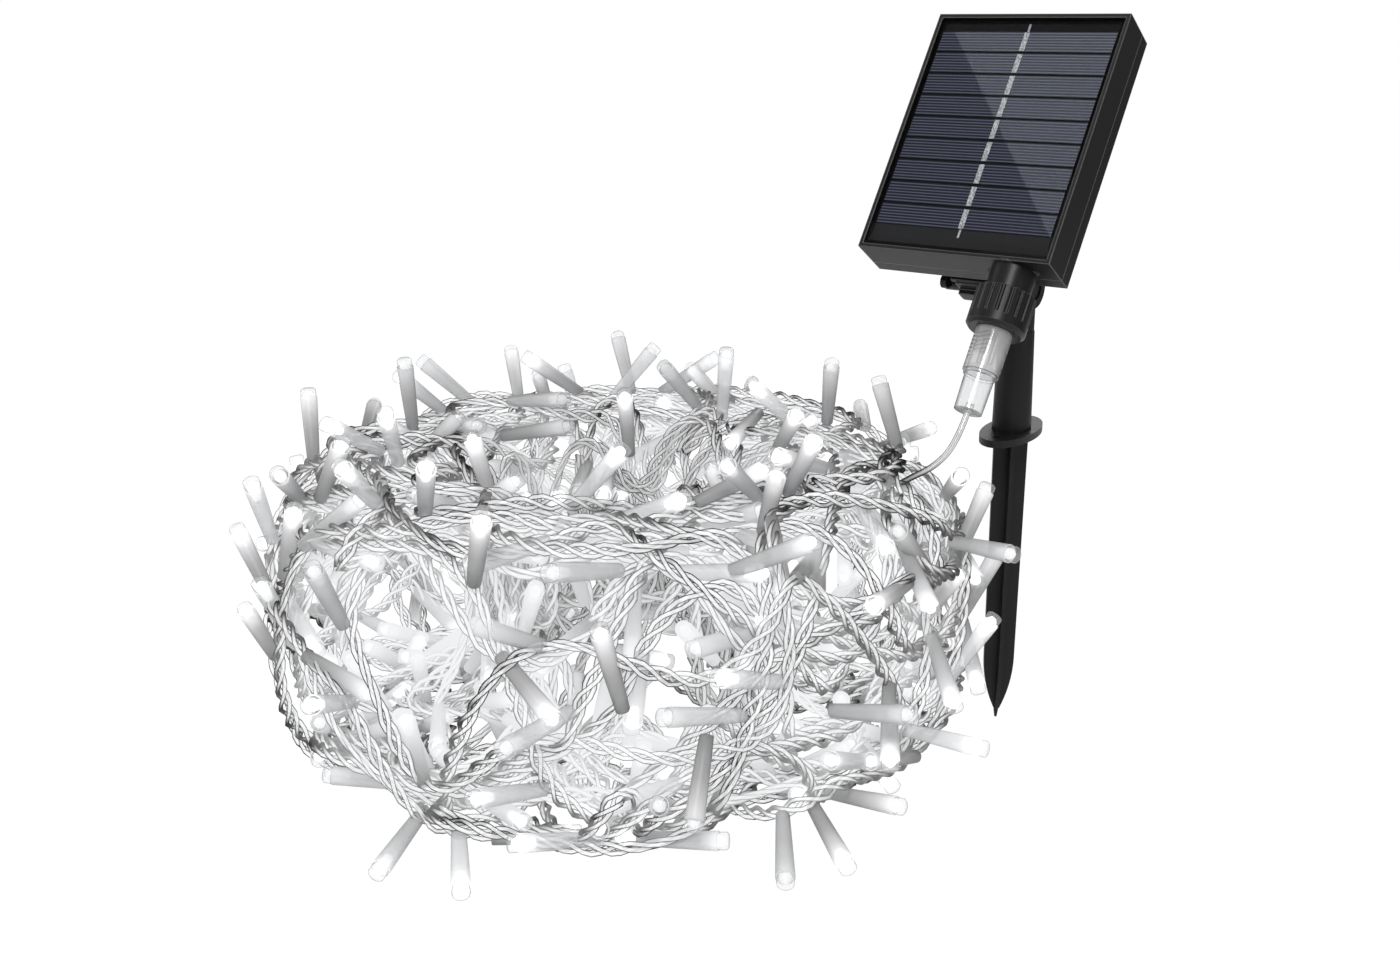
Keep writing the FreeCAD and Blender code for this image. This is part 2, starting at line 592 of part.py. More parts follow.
def tilt_lug():
    plate = box("LugPlate", ("lug_to - lug_from + 4", "19", "2"), ("0 - lug_to - 2", "-4.5", "hinge_gap - 2"))
    web = box(
        "LugWeb", ("lug_to - lug_from", "2 * lug_rad", "hinge_gap - 1"), ("0 - lug_to", "0 - lug_rad", "0")
    )
    eye = cylinder("LugEye", "lug_rad", "lug_to - lug_from", ("0 - lug_to", "0", "0"), "x")
    trim = box("LugTrim", ("60", "20", "60"), ("-40", "0 - panel_low - 20", "hinge_gap - 6"))
    hole = cylinder("LugHole", "bolt_hole", "40", ("-40", "0", "0"), "x")
    bores = [
        cylinder(f"LugBore{i}", "1.35", "8", (x, y, "hinge_gap - 5")) for i, (x, y) in enumerate(lug_screws())
    ]
    sub_part("tilt_lug", cut("Lug", fuse("LugSolid", plate, web, eye), trim, hole, *bores), HEAD)
    screws = [
        fuse(f"LugScrew{i}", cylinder(f"LugScrewHead{i}", "2.3", "1.2", (x, y, "hinge_gap - 3.2")),
             cylinder(f"LugScrewShank{i}", "1.25", "4.6", (x, y, "hinge_gap - 2.1")))
        for i, (x, y) in enumerate(lug_screws())
    ]
    sub_part("lug_screws", group("LugScrews", *screws), HEAD)


AXLE = Placement(Vector(0, 0, size("hinge_high")), Rotation())


def clamp():
    shaft = cylinder("BoltShaft", "bolt_rad", "bolt_end + knuckle_half - 1",
                     ("0 - bolt_end", "0", "0"), "x")
    head = cylinder(
        "BoltHead", "bolt_head", "bolt_head_deep - 0.5", ("knuckle_half - bolt_head_deep", "0", "0"), "x"
    )
    sub_part("hinge_bolt", fuse("Bolt", shaft, head), AXLE)
    disc = cut(
        "Disc", cylinder(
            "DiscOuter", "disc_rad", "disc_thick", ("0 - lug_to - 0.1 - disc_thick", "0", "0"), "x"
        ),
               cylinder("DiscInner", "bolt_hole", "10", ("0 - lug_to - 5", "0", "0"), "x")
    )
    sub_part("hinge_washer", disc, AXLE)
    start = "0 - lug_to - disc_thick - 0.2 - hub_long"
    hub = cylinder("WingHub", "hub_rad", "hub_long", (start, "0", "0"), "x")
    crown = cone("WingCrown", "hub_rad - 1", "hub_rad", "1.2", (f"{start} - 1.2", "0", "0"), "x")
    wings = []
    for i, side in enumerate((-1, 1)):
        tip = cylinder(f"WingTip{i}", "wing_half", "wing_thick",
                       (f"{start} + 1.5", f"{side} * (wing_reach - wing_half)", "0"), "x")
        low = "0" if side > 0 else "0 - (wing_reach - wing_half)"
        arm = box(f"WingArm{i}", ("wing_thick", "wing_reach - wing_half", "2 * wing_half - 0.8"),
                  (f"{start} + 1.5", low, "0 - wing_half + 0.4"))
        wings += [tip, arm]
    hole = cylinder("WingHole", "bolt_hole", "30", ("-45", "0", "0"), "x")
    sub_part("wing_nut", cut("Wing", fuse("WingSolid", hub, crown, *wings), hole), AXLE)


def stake_head():
    knuckle = cylinder("Knuckle", "knuckle_rad", "2 * knuckle_half", ("0 - knuckle_half", "0", "0"), "x")
    neck = cylinder("HeadNeck", "neck_rad", "hinge_high - tube_top", ("0", "0", "tube_top - hinge_high"))
    peg = cylinder("HeadPeg", "spigot_rad", "neck_deep + 2", ("0", "0", "tube_top - hinge_high - neck_deep"))
    hole = cylinder("HeadHole", "bolt_hole", "40", ("-20", "0", "0"), "x")
    sink = cylinder("HeadSink", "bolt_head + 0.1", "10", ("knuckle_half - bolt_head_deep", "0", "0"), "x")
    sub_part("stake_head", cut("Head", fuse("HeadSolid", knuckle, neck, peg), hole, sink), AXLE)


def stake_tube():
    flange = doc.addObject("Part::Feature", "FlangeSlab")
    oval = Part.Ellipse(Vector(), size("flange_long"), size("flange_short")).toShape()
    flange.Shape = Part.Face(Part.Wire([oval])).extrude(Vector(0, 0, size("flange_thick")))
    flange.Placement = Placement(
        Vector(0, 0, size("flange_under")), Rotation(Vector(0, 0, 1), 90 + size("flange_turn"))
    )
    top_of_flange = "flange_under + flange_thick"
    tube = cone("TubeWall", "tube_foot", "tube_neck", f"tube_top - ({top_of_flange}) + 0.2",
                ("0", "0", f"{top_of_flange} - 0.2"))
    bore = cylinder("TubeBore", "tube_bore", "100", ("0", "0", "flange_under - 10"))
    holes = []
    for i, side in enumerate((-1, 1)):
        hole = cylinder(f"EarHole{i}", "ear_hole", "20", ("0", "0", "flange_under - 5"))
        bind(hole, "Placement.Base.x", f"{side} * ear_apart / 2 * cos(90deg + flange_turn * 1deg)")
        bind(hole, "Placement.Base.y", f"{side} * ear_apart / 2 * sin(90deg + flange_turn * 1deg)")
        holes.append(hole)
    sub_part("stake_tube", cut("Tube", fuse("TubeSolid", flange, tube), bore, *holes))


def blade(half_top, half_low):
    """One flat blade of the spike: straight sides to the point, then two arcs down to the peg."""
    high, start, peg = size("flange_under"), size("point_high"), size("peg_high")
    thin = size("peg_rad")
    bulge = 0.42
    mid_x, mid_z = thin + (half_low - thin) * (0.5 + bulge / 2), peg + (start - peg) * 0.45
    right = Part.Arc(Vector(half_low, 0, start), Vector(mid_x, 0, mid_z), Vector(thin, 0, peg)).toShape()
    left = Part.Arc(Vector(-thin, 0, peg), Vector(-mid_x, 0, mid_z), Vector(-half_low, 0, start)).toShape()
    edges = [
        Part.makeLine(Vector(half_top, 0, high), Vector(half_low, 0, start)), right,
        Part.makeLine(Vector(thin, 0, peg), Vector(-thin, 0, peg)), left,
        Part.makeLine(Vector(-half_low, 0, start), Vector(-half_top, 0, high)),
        Part.makeLine(Vector(-half_top, 0, high), Vector(half_top, 0, high)),
    ]
    thick = size("blade_thick")
    slab = Part.Face(Part.Wire(edges)).extrude(Vector(0, thick, 0))
    slab.translate(Vector(0, -thick / 2, 0))
    return slab


def stake_spike():
    broad = blade(size("blade_top"), size("blade_low"))
    cross = blade(size("blade_top") - 0.6, size("blade_low") - 0.6)
    cross.rotate(Vector(), Vector(0, 0, 1), 90)
    peg = Part.makeCone(0.5, size("peg_rad"), size("peg_high") + 0.5)
    plug_piece = Part.makeCylinder(
        size("spigot_rad"), size("spike_plug") + 3, Vector(0, 0, size("flange_under") - 3)
    )
    shape = broad.fuse([cross, peg, plug_piece]).removeSplitter()
    shape.rotate(Vector(), Vector(0, 0, 1), size("blade_turn"))
    sub_part("stake_spike", solid("Spike", shape))


# ---- string ---------------------------------------------------------------------------------------------


def route():
    """The lead's route, from its exit in the boot."""
    x = size("port_x") - size("panel_shift")
    y = -size("panel_low") - size("boot_end")
    z = size("hinge_gap") + size("panel_depth") - size("port_mid")
    return [HEAD.multVec(Vector(x, y, z))] + [Vector(*p) for p in LEAD_POINTS]


def rounded_wire(points):
    """Straight runs joined by tangent arcs, each as large as its two runs allow."""
    edges, radii, start = [], [], points[0]
    for before, corner, after in zip(points, points[1:], points[2:]):
        back, ahead = before - corner, after - corner
        reach = 0.45 * min(back.Length, ahead.Length)
        back.normalize()
        ahead.normalize()
        half_turn = (math.pi - back.getAngle(ahead)) / 2
        first, last = corner + back * reach, corner + ahead * reach
        radius = reach / math.tan(half_turn)
        middle_line = back + ahead
        middle_line.normalize()
        middle = corner + middle_line * (math.hypot(radius, reach) - radius)
        edges.append(Part.LineSegment(start, first).toShape())
        edges.append(Part.Arc(first, middle, last).toShape())
        radii.append(radius)
        start = last
    edges.append(Part.LineSegment(start, points[-1]).toShape())
    return Part.Wire(edges), radii


def lead_cable():
    points = route()
    path, radii = rounded_wire(points)
    face = Part.Face(Part.Wire([Part.makeCircle(size("lead_rad"), points[0], points[1] - points[0])]))
    tube = Part.Wire(path).makePipe(face)
    expected = math.pi * size("lead_rad") ** 2 * path.Length
    print("lead length", round(path.Length, 1), "radii", [round(r, 1) for r in radii],
          "volume ratio", round(tube.Volume / expected, 4), "exit", [round(c, 3) for c in points[0]])
    sub_part("lead_cable", solid("Lead", tube))


def section_point(angle):
    """A point of the bundle's section and its outward line, for an angle from straight out (0) to up (90)."""
    half_wide, half_tall = size("coil_wide") / 2, size("coil_tall") / 2
    c, s = math.cos(angle), math.sin(angle)
    power = 0.72
    out = half_wide * math.copysign(abs(c) ** power, c)
    up = half_tall * math.copysign(abs(s) ** power, s)
    return out, up


def lamp_line(around, section, lean, spin):
    """Base and direction of a lamp, from its place on the bundle and its lean, all in degrees."""
    around, section, lean, spin = (math.radians(a) for a in (around, section, lean, spin))
    out, up = section_point(section)
    radial = Vector(math.cos(around), math.sin(around), 0)
    along = Vector(-math.sin(around), math.cos(around), 0)
    normal = radial * math.cos(section) + Vector(0, 0, math.sin(section))
    over = Vector(0, 0, math.cos(section)) - radial * math.sin(section)
    centre = Vector(size("coil_x"), size("coil_y"), size("coil_tall") / 2)
    base = centre + radial * (size("coil_crest") + out) + Vector(0, 0, up) - normal * size("lamp_sunk")
    direction = normal * math.cos(lean) + (along * math.cos(spin) + over * math.sin(spin)) * math.sin(lean)
    return base, direction


def lamps():
    """Every lamp that stands out of the bundle."""
    lines = [lamp_line(*placed) for placed in PLACED_LAMPS]
    stake_gap, low, apart = 22, 8, 9
    whole = size("lamp_long") + size("lens_long")
    for i in range(int(size("formula_lamps")) * 3):
        if len(lines) == len(PLACED_LAMPS) + int(size("formula_lamps")):
            break
        base, way = lamp_line(137.5 * i, -20 + 47 * i % 165, 38 + 17 * i % 34, 71 * i % 360)
        tip = base + way * whole
        near_stake = math.hypot(tip.x, tip.y) < stake_gap or math.hypot(base.x, base.y) < stake_gap
        near_lead = min((tip - p).Length for p in route()) < 16
        if tip.z < low or base.z < low or near_stake or near_lead:
            continue
        middle = base + way * (whole / 2)
        if all(
            min((middle - (b + w * (whole * k))).Length for k in (0.1, 0.5, 0.9)) > 2 * apart
            for b, w in lines
        ):
            lines.append((base, way))
    return lines


def lamp_nodes():
    sleeves, lenses = [], []
    for base, way in lamps():
        sleeves.append(Part.makeCone(size("lamp_thin"), size("lamp_wide"), size("lamp_long"), base, way))
        foot = base + way * size("lamp_long")
        lenses.append(Part.makeCylinder(size("lens_rad"), size("lens_long"), foot, way))
    print("lamps", len(sleeves))
    sub_part("lamp_sleeves", solid("Sleeves", Part.makeCompound(sleeves)))
    sub_part("lamp_lenses", solid("Lenses", Part.makeCompound(lenses)))


def light_bundle():
    """The outer shape of the wound string: a ring with a rounded rectangular section."""
    inner = size("coil_crest") - size("coil_wide") / 2
    outer, tall, bend = inner + size("coil_wide"), size("coil_tall"), size("coil_round")
    cut_in = bend * (1 - math.sqrt(0.5))
    corners = [
        (Vector(outer - bend, 0, 0), Vector(outer - cut_in, 0, cut_in), Vector(outer, 0, bend)),
        (
            Vector(outer, 0, tall - bend), Vector(outer - cut_in, 0, tall - cut_in),
            Vector(outer - bend, 0, tall)
        ),
        (
            Vector(inner + bend, 0, tall), Vector(inner + cut_in, 0, tall - cut_in),
            Vector(inner, 0, tall - bend)
        ),
        (Vector(inner, 0, bend), Vector(inner + cut_in, 0, cut_in), Vector(inner + bend, 0, 0)),
    ]
    edges = []
    for i, (first, middle, last) in enumerate(corners):
        edges.append(Part.Arc(first, middle, last).toShape())
        edges.append(Part.makeLine(last, corners[(i + 1) % 4][0]))
    ring = Part.Face(Part.Wire(edges)).revolve(Vector(), Vector(0, 0, 1), 360)
    made = solid("Bundle", ring)
    sub_part("light_bundle", made, Placement(Vector(size("coil_x"), size("coil_y"), 0), Rotation()))


# ---- assembly -------------------------------------------------------------------------------------------

front_bezel()
rear_housing()
laminate()
housing_gasket()
housing_screws()
inside()
buttons()
connector()
coupling_nut()
plug()
tilt_lug()
clamp()
stake_head()
stake_tube()
stake_spike()
lead_cable()
lamp_nodes()
light_bundle()
doc.recompute()

broken = [o.Label for o in doc.Objects if "Invalid" in o.State or "Error" in o.State]
broken += [o.Label for o in nodes if o.Shape.isNull() or not o.Shape.isValid() or not o.Shape.Solids]
if broken:
    raise SystemExit(f"these objects failed: {broken}")

os.makedirs("parts", exist_ok=True)
for node in nodes:
    node.Shape.exportStep(os.path.join("parts", node.Label + ".step"))
print(len(nodes), "sub-parts")
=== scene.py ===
"""The looks of the solar string lights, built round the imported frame, in metres.

The string's winding is worked out by a loop round the bundle's ring, then pushed apart where it crosses
itself. The lamps sit along it, and the ones that stand out of the bundle are where the frame has them.
"""

import math

import bpy
import numpy as np
from mathutils import Matrix, Vector, kdtree


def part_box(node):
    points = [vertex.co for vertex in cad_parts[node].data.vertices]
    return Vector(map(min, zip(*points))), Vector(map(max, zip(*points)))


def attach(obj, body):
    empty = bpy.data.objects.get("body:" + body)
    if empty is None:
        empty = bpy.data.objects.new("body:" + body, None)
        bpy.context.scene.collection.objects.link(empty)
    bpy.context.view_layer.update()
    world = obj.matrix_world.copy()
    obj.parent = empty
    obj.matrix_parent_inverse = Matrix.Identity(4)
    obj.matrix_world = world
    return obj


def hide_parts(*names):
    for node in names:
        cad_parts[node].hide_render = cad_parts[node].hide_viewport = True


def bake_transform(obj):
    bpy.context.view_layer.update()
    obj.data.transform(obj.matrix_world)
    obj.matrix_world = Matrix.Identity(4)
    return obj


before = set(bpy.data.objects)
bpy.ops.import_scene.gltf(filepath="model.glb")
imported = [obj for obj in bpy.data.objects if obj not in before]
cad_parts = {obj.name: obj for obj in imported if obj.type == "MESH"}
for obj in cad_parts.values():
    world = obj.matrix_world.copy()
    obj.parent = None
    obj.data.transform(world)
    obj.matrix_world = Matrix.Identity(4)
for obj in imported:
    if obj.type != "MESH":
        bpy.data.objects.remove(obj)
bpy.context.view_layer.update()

MM = 0.001
UP = np.array([0.0, 0.0, 1.0])


# ---- camera, light and floor ----------------------------------------------------------------------------


def camera():
    data = bpy.data.cameras.new("camera")
    data.sensor_width = 36.0
    data.lens = 41.14
    data.clip_end = 30.0
    eye = bpy.data.objects.new("camera", data)
    eye.location = (0.2754, -0.5582, 0.2767)
    eye.rotation_euler = (math.radians(90 - 16), 0, math.radians(37.6))
    bpy.context.scene.collection.objects.link(eye)
    bpy.context.scene.camera = eye


def area_light(name, place, aim, size, power):
    data = bpy.data.lights.new(name, "AREA")
    data.shape = "RECTANGLE"
    data.size, data.size_y = size
    data.energy = power
    lamp = bpy.data.objects.new(name, data)
    lamp.location = place
    lamp.rotation_euler = (Vector(aim) - Vector(place)).to_track_quat("-Z", "Y").to_euler()
    bpy.context.scene.collection.objects.link(lamp)


def studio():
    scene = bpy.context.scene
    scene.view_settings.view_transform = "Standard"
    scene.view_settings.look = "None"
    world = bpy.data.worlds.new("studio")
    scene.world = world
    world.use_nodes = True
    tree = world.node_tree
    for_camera = node(tree, "ShaderNodeBackground", Color=(1, 1, 1, 1), Strength=1.0)
    for_rest = node(tree, "ShaderNodeBackground", Strength=0.4)
    seen = node(tree, "ShaderNodeLightPath")
    pick = node(tree, "ShaderNodeMixShader")
    tree.links.new(seen.outputs["Is Camera Ray"], pick.inputs["Fac"])
    tree.links.new(for_rest.outputs[0], pick.inputs[1])
    tree.links.new(for_camera.outputs[0], pick.inputs[2])
    tree.links.new(pick.outputs[0], tree.nodes["World Output"].inputs["Surface"])
    area_light("key", (0.55, -1.2, 1.3), (-0.08, -0.06, 0.08), (0.5, 0.5), 13.0)
    area_light("side", (-1.2, -0.5, 0.35), (-0.05, -0.05, 0.12), (0.25, 0.9), 4.0)
    area_light("fill", (1.3, -0.2, 0.5), (-0.05, -0.05, 0.1), (0.4, 0.9), 0.6)
    area_light("rim", (-0.2, 1.1, 0.8), (-0.05, -0.05, 0.1), (0.9, 0.5), 6.0)
    mesh = bpy.data.meshes.new("floor")
    far = 6.0
    mesh.from_pydata([(-far, -far, 0), (far, -far, 0), (far, far, 0), (-far, far, 0)], [], [(0, 1, 2, 3)])
    floor = bpy.data.objects.new("floor", mesh)
    floor.location.z = -0.0002
    scene.collection.objects.link(floor)
    made, tree, shader = plain_material("floor_white", (0.85, 0.85, 0.85), 0.9)
    white = node(tree, "ShaderNodeEmission", Color=(1, 1, 1, 1), Strength=1.08)
    seen = node(tree, "ShaderNodeLightPath")
    mirrored = combined(tree, "MULTIPLY", seen.outputs["Is Glossy Ray"], 0.45)
    share = combined(tree, "MULTIPLY_ADD", seen.outputs["Is Camera Ray"], 0.9, mirrored)
    pick = node(tree, "ShaderNodeMixShader")
    tree.links.new(share, pick.inputs["Fac"])
    tree.links.new(shader.outputs[0], pick.inputs[1])
    tree.links.new(white.outputs[0], pick.inputs[2])
    tree.links.new(pick.outputs[0], tree.nodes["Material Output"].inputs["Surface"])
    mesh.materials.append(made)
    scene.cycles.transparent_max_bounces = 64
    scene.cycles.max_bounces = 10
    scene.cycles.transmission_bounces = 8
    scene.cycles.caustics_reflective = False
    scene.cycles.caustics_refractive = False


# ---- materials ------------------------------------------------------------------------------------------


def plain_material(name, color, roughness, metallic=0.0):
    made = bpy.data.materials.new(name)
    made.use_nodes = True
    shader = made.node_tree.nodes["Principled BSDF"]
    shader.inputs["Base Color"].default_value = (*color, 1)
    shader.inputs["Roughness"].default_value = roughness
    shader.inputs["Metallic"].default_value = metallic
    return made, made.node_tree, shader


def node(tree, kind, **settings):
    made = tree.nodes.new(kind)
    for key, value in settings.items():
        if key in made.inputs:
            made.inputs[key].default_value = value
        else:
            setattr(made, key, value)
    return made


def bumpy(tree, shader, scale, strength, distance=0.0002, edge=None):
    """A fine moulded texture, and edges rounded by the given radius."""
    place = node(tree, "ShaderNodeTexCoord")
    grain = node(tree, "ShaderNodeTexNoise", Scale=scale, Detail=3.0)
    bump = node(tree, "ShaderNodeBump", Strength=strength, Distance=distance)
    tree.links.new(place.outputs["Object"], grain.inputs["Vector"])
    tree.links.new(grain.outputs["Fac"], bump.inputs["Height"])
    tree.links.new(bump.outputs["Normal"], shader.inputs["Normal"])
    if edge:
        rounding = node(tree, "ShaderNodeBevel", samples=6, Radius=edge)
        tree.links.new(rounding.outputs["Normal"], bump.inputs["Normal"])
    return grain


def painted_edge_highlight(tree, shader, radius, pale):
    """Lightens a moulding's rounded edges: a painted highlight in the base colour."""
    rounding = node(tree, "ShaderNodeBevel", samples=6, Radius=radius)
    flat = node(tree, "ShaderNodeNewGeometry")
    turn = node(tree, "ShaderNodeVectorMath", operation="DOT_PRODUCT")
    tree.links.new(rounding.outputs["Normal"], turn.inputs[0])
    tree.links.new(flat.outputs["Normal"], turn.inputs[1])
    share = ranged(tree, turn.outputs["Value"], 0.98, 0.75, 0, 1)
    color = node(tree, "ShaderNodeMix", data_type="RGBA")
    tree.links.new(share, color.inputs[0])
    tree.links.new(shader.inputs["Base Color"].links[0].from_socket, color.inputs[6])
    color.inputs[7].default_value = (pale, pale, pale, 1)
    tree.links.new(color.outputs[2], shader.inputs["Base Color"])


def mottled(tree, shader, grain, dark, light):
    """Colour that wavers a little with the same noise."""
    ramp = node(tree, "ShaderNodeValToRGB")
    for element, position, color in zip(ramp.color_ramp.elements, (0.3, 0.7), (dark, light)):
        element.position = position
        element.color = (*color, 1)
    tree.links.new(grain.outputs["Fac"], ramp.inputs["Fac"])
    tree.links.new(ramp.outputs["Color"], shader.inputs["Base Color"])


def moulded_black(name, shade, roughness, strength=0.25, shine=0.35, edge=None):
    """Black plastic with a fine grain and, where `edge` gives their radius, rounded edges with a painted
    highlight.
    """
    made, tree, shader = plain_material(name, (shade,) * 3, roughness)
    shader.inputs["Specular IOR Level"].default_value = shine
    grain = bumpy(tree, shader, 2600.0, strength, edge=edge)
    mottled(tree, shader, grain, (shade * 0.8,) * 3, (shade * 1.25,) * 3)
    # painted highlight: the rounded edges get a paler base colour
    if edge:
        painted_edge_highlight(tree, shader, edge, 0.22)
    return made


def mixed(tree, share, first, second):
    """A mix of two shaders; the share is a number or an output socket."""
    made = node(tree, "ShaderNodeMixShader")
    if isinstance(share, (int, float)):
        made.inputs["Fac"].default_value = share
    else:
        tree.links.new(share, made.inputs["Fac"])
    tree.links.new(first, made.inputs[1])
    tree.links.new(second, made.inputs[2])
    return made.outputs[0]


def ranged(tree, value, low, high, to_low, to_high, smooth=False):
    """A value moved from one range to another and held inside it."""
    made = node(tree, "ShaderNodeMapRange", interpolation_type="SMOOTHSTEP" if smooth else "LINEAR")
    for key, number in (("From Min", low), ("From Max", high), ("To Min", to_low), ("To Max", to_high)):
        made.inputs[key].default_value = number
    tree.links.new(value, made.inputs["Value"])
    return made.outputs["Result"]


def combined(tree, operation, first, second=None, third=None):
    """The result of a sum on numbers or output sockets."""
    made = node(tree, "ShaderNodeMath", operation=operation)
    for item, value in zip(made.inputs, (first, second, third)):
        if isinstance(value, (int, float)):
            item.default_value = value
        elif value is not None:
            tree.links.new(value, item)
    return made.outputs[0]


def noise(tree, scale, detail=2.0):
    place = node(tree, "ShaderNodeTexCoord")
    made = node(tree, "ShaderNodeTexNoise", Scale=scale, Detail=detail)
    tree.links.new(place.outputs["Object"], made.inputs["Vector"])
    return made.outputs["Fac"]


def hazed(tree, surface):
    """Washes a surface out in the lamps' glow, the more the deeper it lies in the bundle."""
    deep = node(tree, "ShaderNodeAttribute", attribute_name="deep")
    glow = node(tree, "ShaderNodeEmission", Color=(0.97, 0.98, 0.99, 1), Strength=0.93)
    return mixed(tree, combined(tree, "MULTIPLY", deep.outputs["Fac"], 0.88), surface, glow.outputs[0])


def clear_strand(name="clear_strand", see=0.62, glow=0.46, thin=0.22, thick=0.54, dark=(0.01, 0.31),
                 line=1.0, patch=24.0):
    """Clear soft plastic: light along its middle and a painted dark shade along its edges, more so in some
    places.

    `see` is how see-through it is and `glow` how much lamp light it carries. The dark line sets in from
    `thin` to `thick` of the way to the edge, at most by `line`, and its shade wavers between the two of
    `dark` in patches of about 1 m / `patch`.
    """
    made = bpy.data.materials.new(name)
    made.use_nodes = True
    tree = made.node_tree
    tree.nodes.remove(tree.nodes["Principled BSDF"])
    edge = node(tree, "ShaderNodeLayerWeight", Blend=0.5)
    near_rim = ranged(tree, edge.outputs["Facing"], thin, thick, 0, 1, True)
    rim_share = combined(tree, "MULTIPLY", near_rim, line)
    clear = node(tree, "ShaderNodeBsdfTransparent", Color=(0.97, 0.975, 0.98, 1))
    soft = node(tree, "ShaderNodeBsdfDiffuse", Color=(0.9, 0.9, 0.909, 1))
    lit = node(tree, "ShaderNodeEmission", Color=(1, 1, 1, 1), Strength=glow)
    both = node(tree, "ShaderNodeAddShader")
    tree.links.new(soft.outputs[0], both.inputs[0])
    tree.links.new(lit.outputs[0], both.inputs[1])
    shine = node(tree, "ShaderNodeBsdfGlossy", Color=(1, 1, 1, 1), Roughness=0.12)
    body = mixed(tree, 1 - see, clear.outputs[0], both.outputs[0])
    skin = mixed(tree, 0.06, body, shine.outputs[0])
    broad = ranged(tree, noise(tree, patch), 0.38, 0.64, 0, 1)
    fine = ranged(tree, noise(tree, patch * 7), 0.35, 0.65, 0, 1)
    spread = combined(tree, "MULTIPLY_ADD", fine, 0.4, combined(tree, "MULTIPLY", broad, 0.6))
    shade = combined(tree, "MULTIPLY_ADD", combined(tree, "POWER", spread, 1.6), dark[1] - dark[0], dark[0])
    # painted shade: a dark emission line along the edges, its shade wavering in patches
    rim = node(tree, "ShaderNodeEmission", Strength=1.0)
    tree.links.new(shade, rim.inputs["Color"])
    dim = node(tree, "ShaderNodeBsdfDiffuse", Color=(0.3, 0.3, 0.305, 1))
    # painted shade: the strands that face the ring's middle are mixed towards grey
    inner = node(tree, "ShaderNodeAttribute", attribute_name="inner")
    skin = mixed(tree, combined(tree, "MULTIPLY", inner.outputs["Fac"], 0.22), skin, dim.outputs[0])
    whole = mixed(tree, rim_share, skin, rim.outputs[0])
    tree.links.new(hazed(tree, whole), tree.nodes["Material Output"].inputs["Surface"])
    return made


def conductor():
    return plain_material("tinned_strands", (0.2, 0.2, 0.21), 0.4, 0.6)[0]


def along_ramp(tree, stops):
    """A colour ramp over the lamp's length, 0 at its foot and 1 at its tip."""
    reach = node(tree, "ShaderNodeAttribute", attribute_name="reach")
    ramp = node(tree, "ShaderNodeValToRGB")
    while len(ramp.color_ramp.elements) < len(stops):
        ramp.color_ramp.elements.new(0.5)
    for element, (position, shade) in zip(ramp.color_ramp.elements, stops):
        element.position = position
        element.color = (shade, shade, shade * 1.01, 1)
    tree.links.new(reach.outputs["Fac"], ramp.inputs["Fac"])
    return ramp


def sleeve_material():
    """Milky sleeve: grey below, white where the lamp shines in it, and see-through where it is pale."""
    made, tree, shader = plain_material("frosted_sleeve", (0.8, 0.8, 0.8), 0.4)
    shade = along_ramp(tree, [(0.0, 0.28), (0.12, 0.36), (0.45, 0.5), (0.62, 0.7), (0.8, 0.88)])
    pale = node(tree, "ShaderNodeAttribute", attribute_name="pale")
    color = node(tree, "ShaderNodeMix", data_type="RGBA")
    tree.links.new(pale.outputs["Fac"], color.inputs[0])
    tree.links.new(shade.outputs["Color"], color.inputs[6])
    color.inputs[7].default_value = (0.9, 0.905, 0.91, 1)
    # painted shade: the sleeve's colour and glow fall off towards its outline
    edge = node(tree, "ShaderNodeLayerWeight", Blend=0.5)
    fall = ranged(tree, edge.outputs["Facing"], 0.3, 0.85, 1.0, 0.6)
    rim = node(tree, "ShaderNodeMix", data_type="RGBA", blend_type="MULTIPLY")
    rim.inputs[0].default_value = 1.0
    tree.links.new(color.outputs[2], rim.inputs[6])
    tree.links.new(fall, rim.inputs[7])
    tree.links.new(rim.outputs[2], shader.inputs["Base Color"])
    # painted light: the sleeve glows towards its tip on lit lamps, and a little all over on pale ones
    glow = along_ramp(tree, [(0.0, 0.0), (0.4, 0.02), (0.65, 0.09), (0.8, 0.3), (0.88, 0.7)])
    lit = node(tree, "ShaderNodeAttribute", attribute_name="lit")
    lit_share = combined(tree, "MULTIPLY", lit.outputs["Fac"], fall)
    power = combined(tree, "MULTIPLY_ADD", pale.outputs["Fac"], 0.12, lit_share)
    tree.links.new(glow.outputs["Color"], shader.inputs["Emission Color"])
    tree.links.new(power, shader.inputs["Emission Strength"])
    clear = node(tree, "ShaderNodeBsdfTransparent", Color=(0.95, 0.955, 0.96, 1))
    solid = combined(tree, "MULTIPLY_ADD", pale.outputs["Fac"], -0.38, 0.88)
    whole = mixed(tree, solid, clear.outputs[0], shader.outputs[0])
    tree.links.new(hazed(tree, whole), tree.nodes["Material Output"].inputs["Surface"])
    return made


def glow_material():
    """The light-emitting chip in a lamp; every lamp shines a little, and some much more."""
    made, tree, shader = plain_material("led_glow", (0.9, 0.9, 0.9), 0.4)
    shader.inputs["Emission Color"].default_value = (1, 1, 1, 1)
    lit = node(tree, "ShaderNodeAttribute", attribute_name="lit")
    power = combined(tree, "MULTIPLY_ADD", lit.outputs["Fac"], 0.8, 0.3)
    tree.links.new(power, shader.inputs["Emission Strength"])
    return made


def clear_plastic(name, **settings):
    """A harder, larger clear piece."""
    wanted = {"see": 0.82, "glow": 0.3, "thin": 0.35, "thick": 0.9, "dark": (0.08, 0.4), "line": 0.8}
    return clear_strand(name, **{**wanted, **settings})


# ---- meshes made in code --------------------------------------------------------------------------------


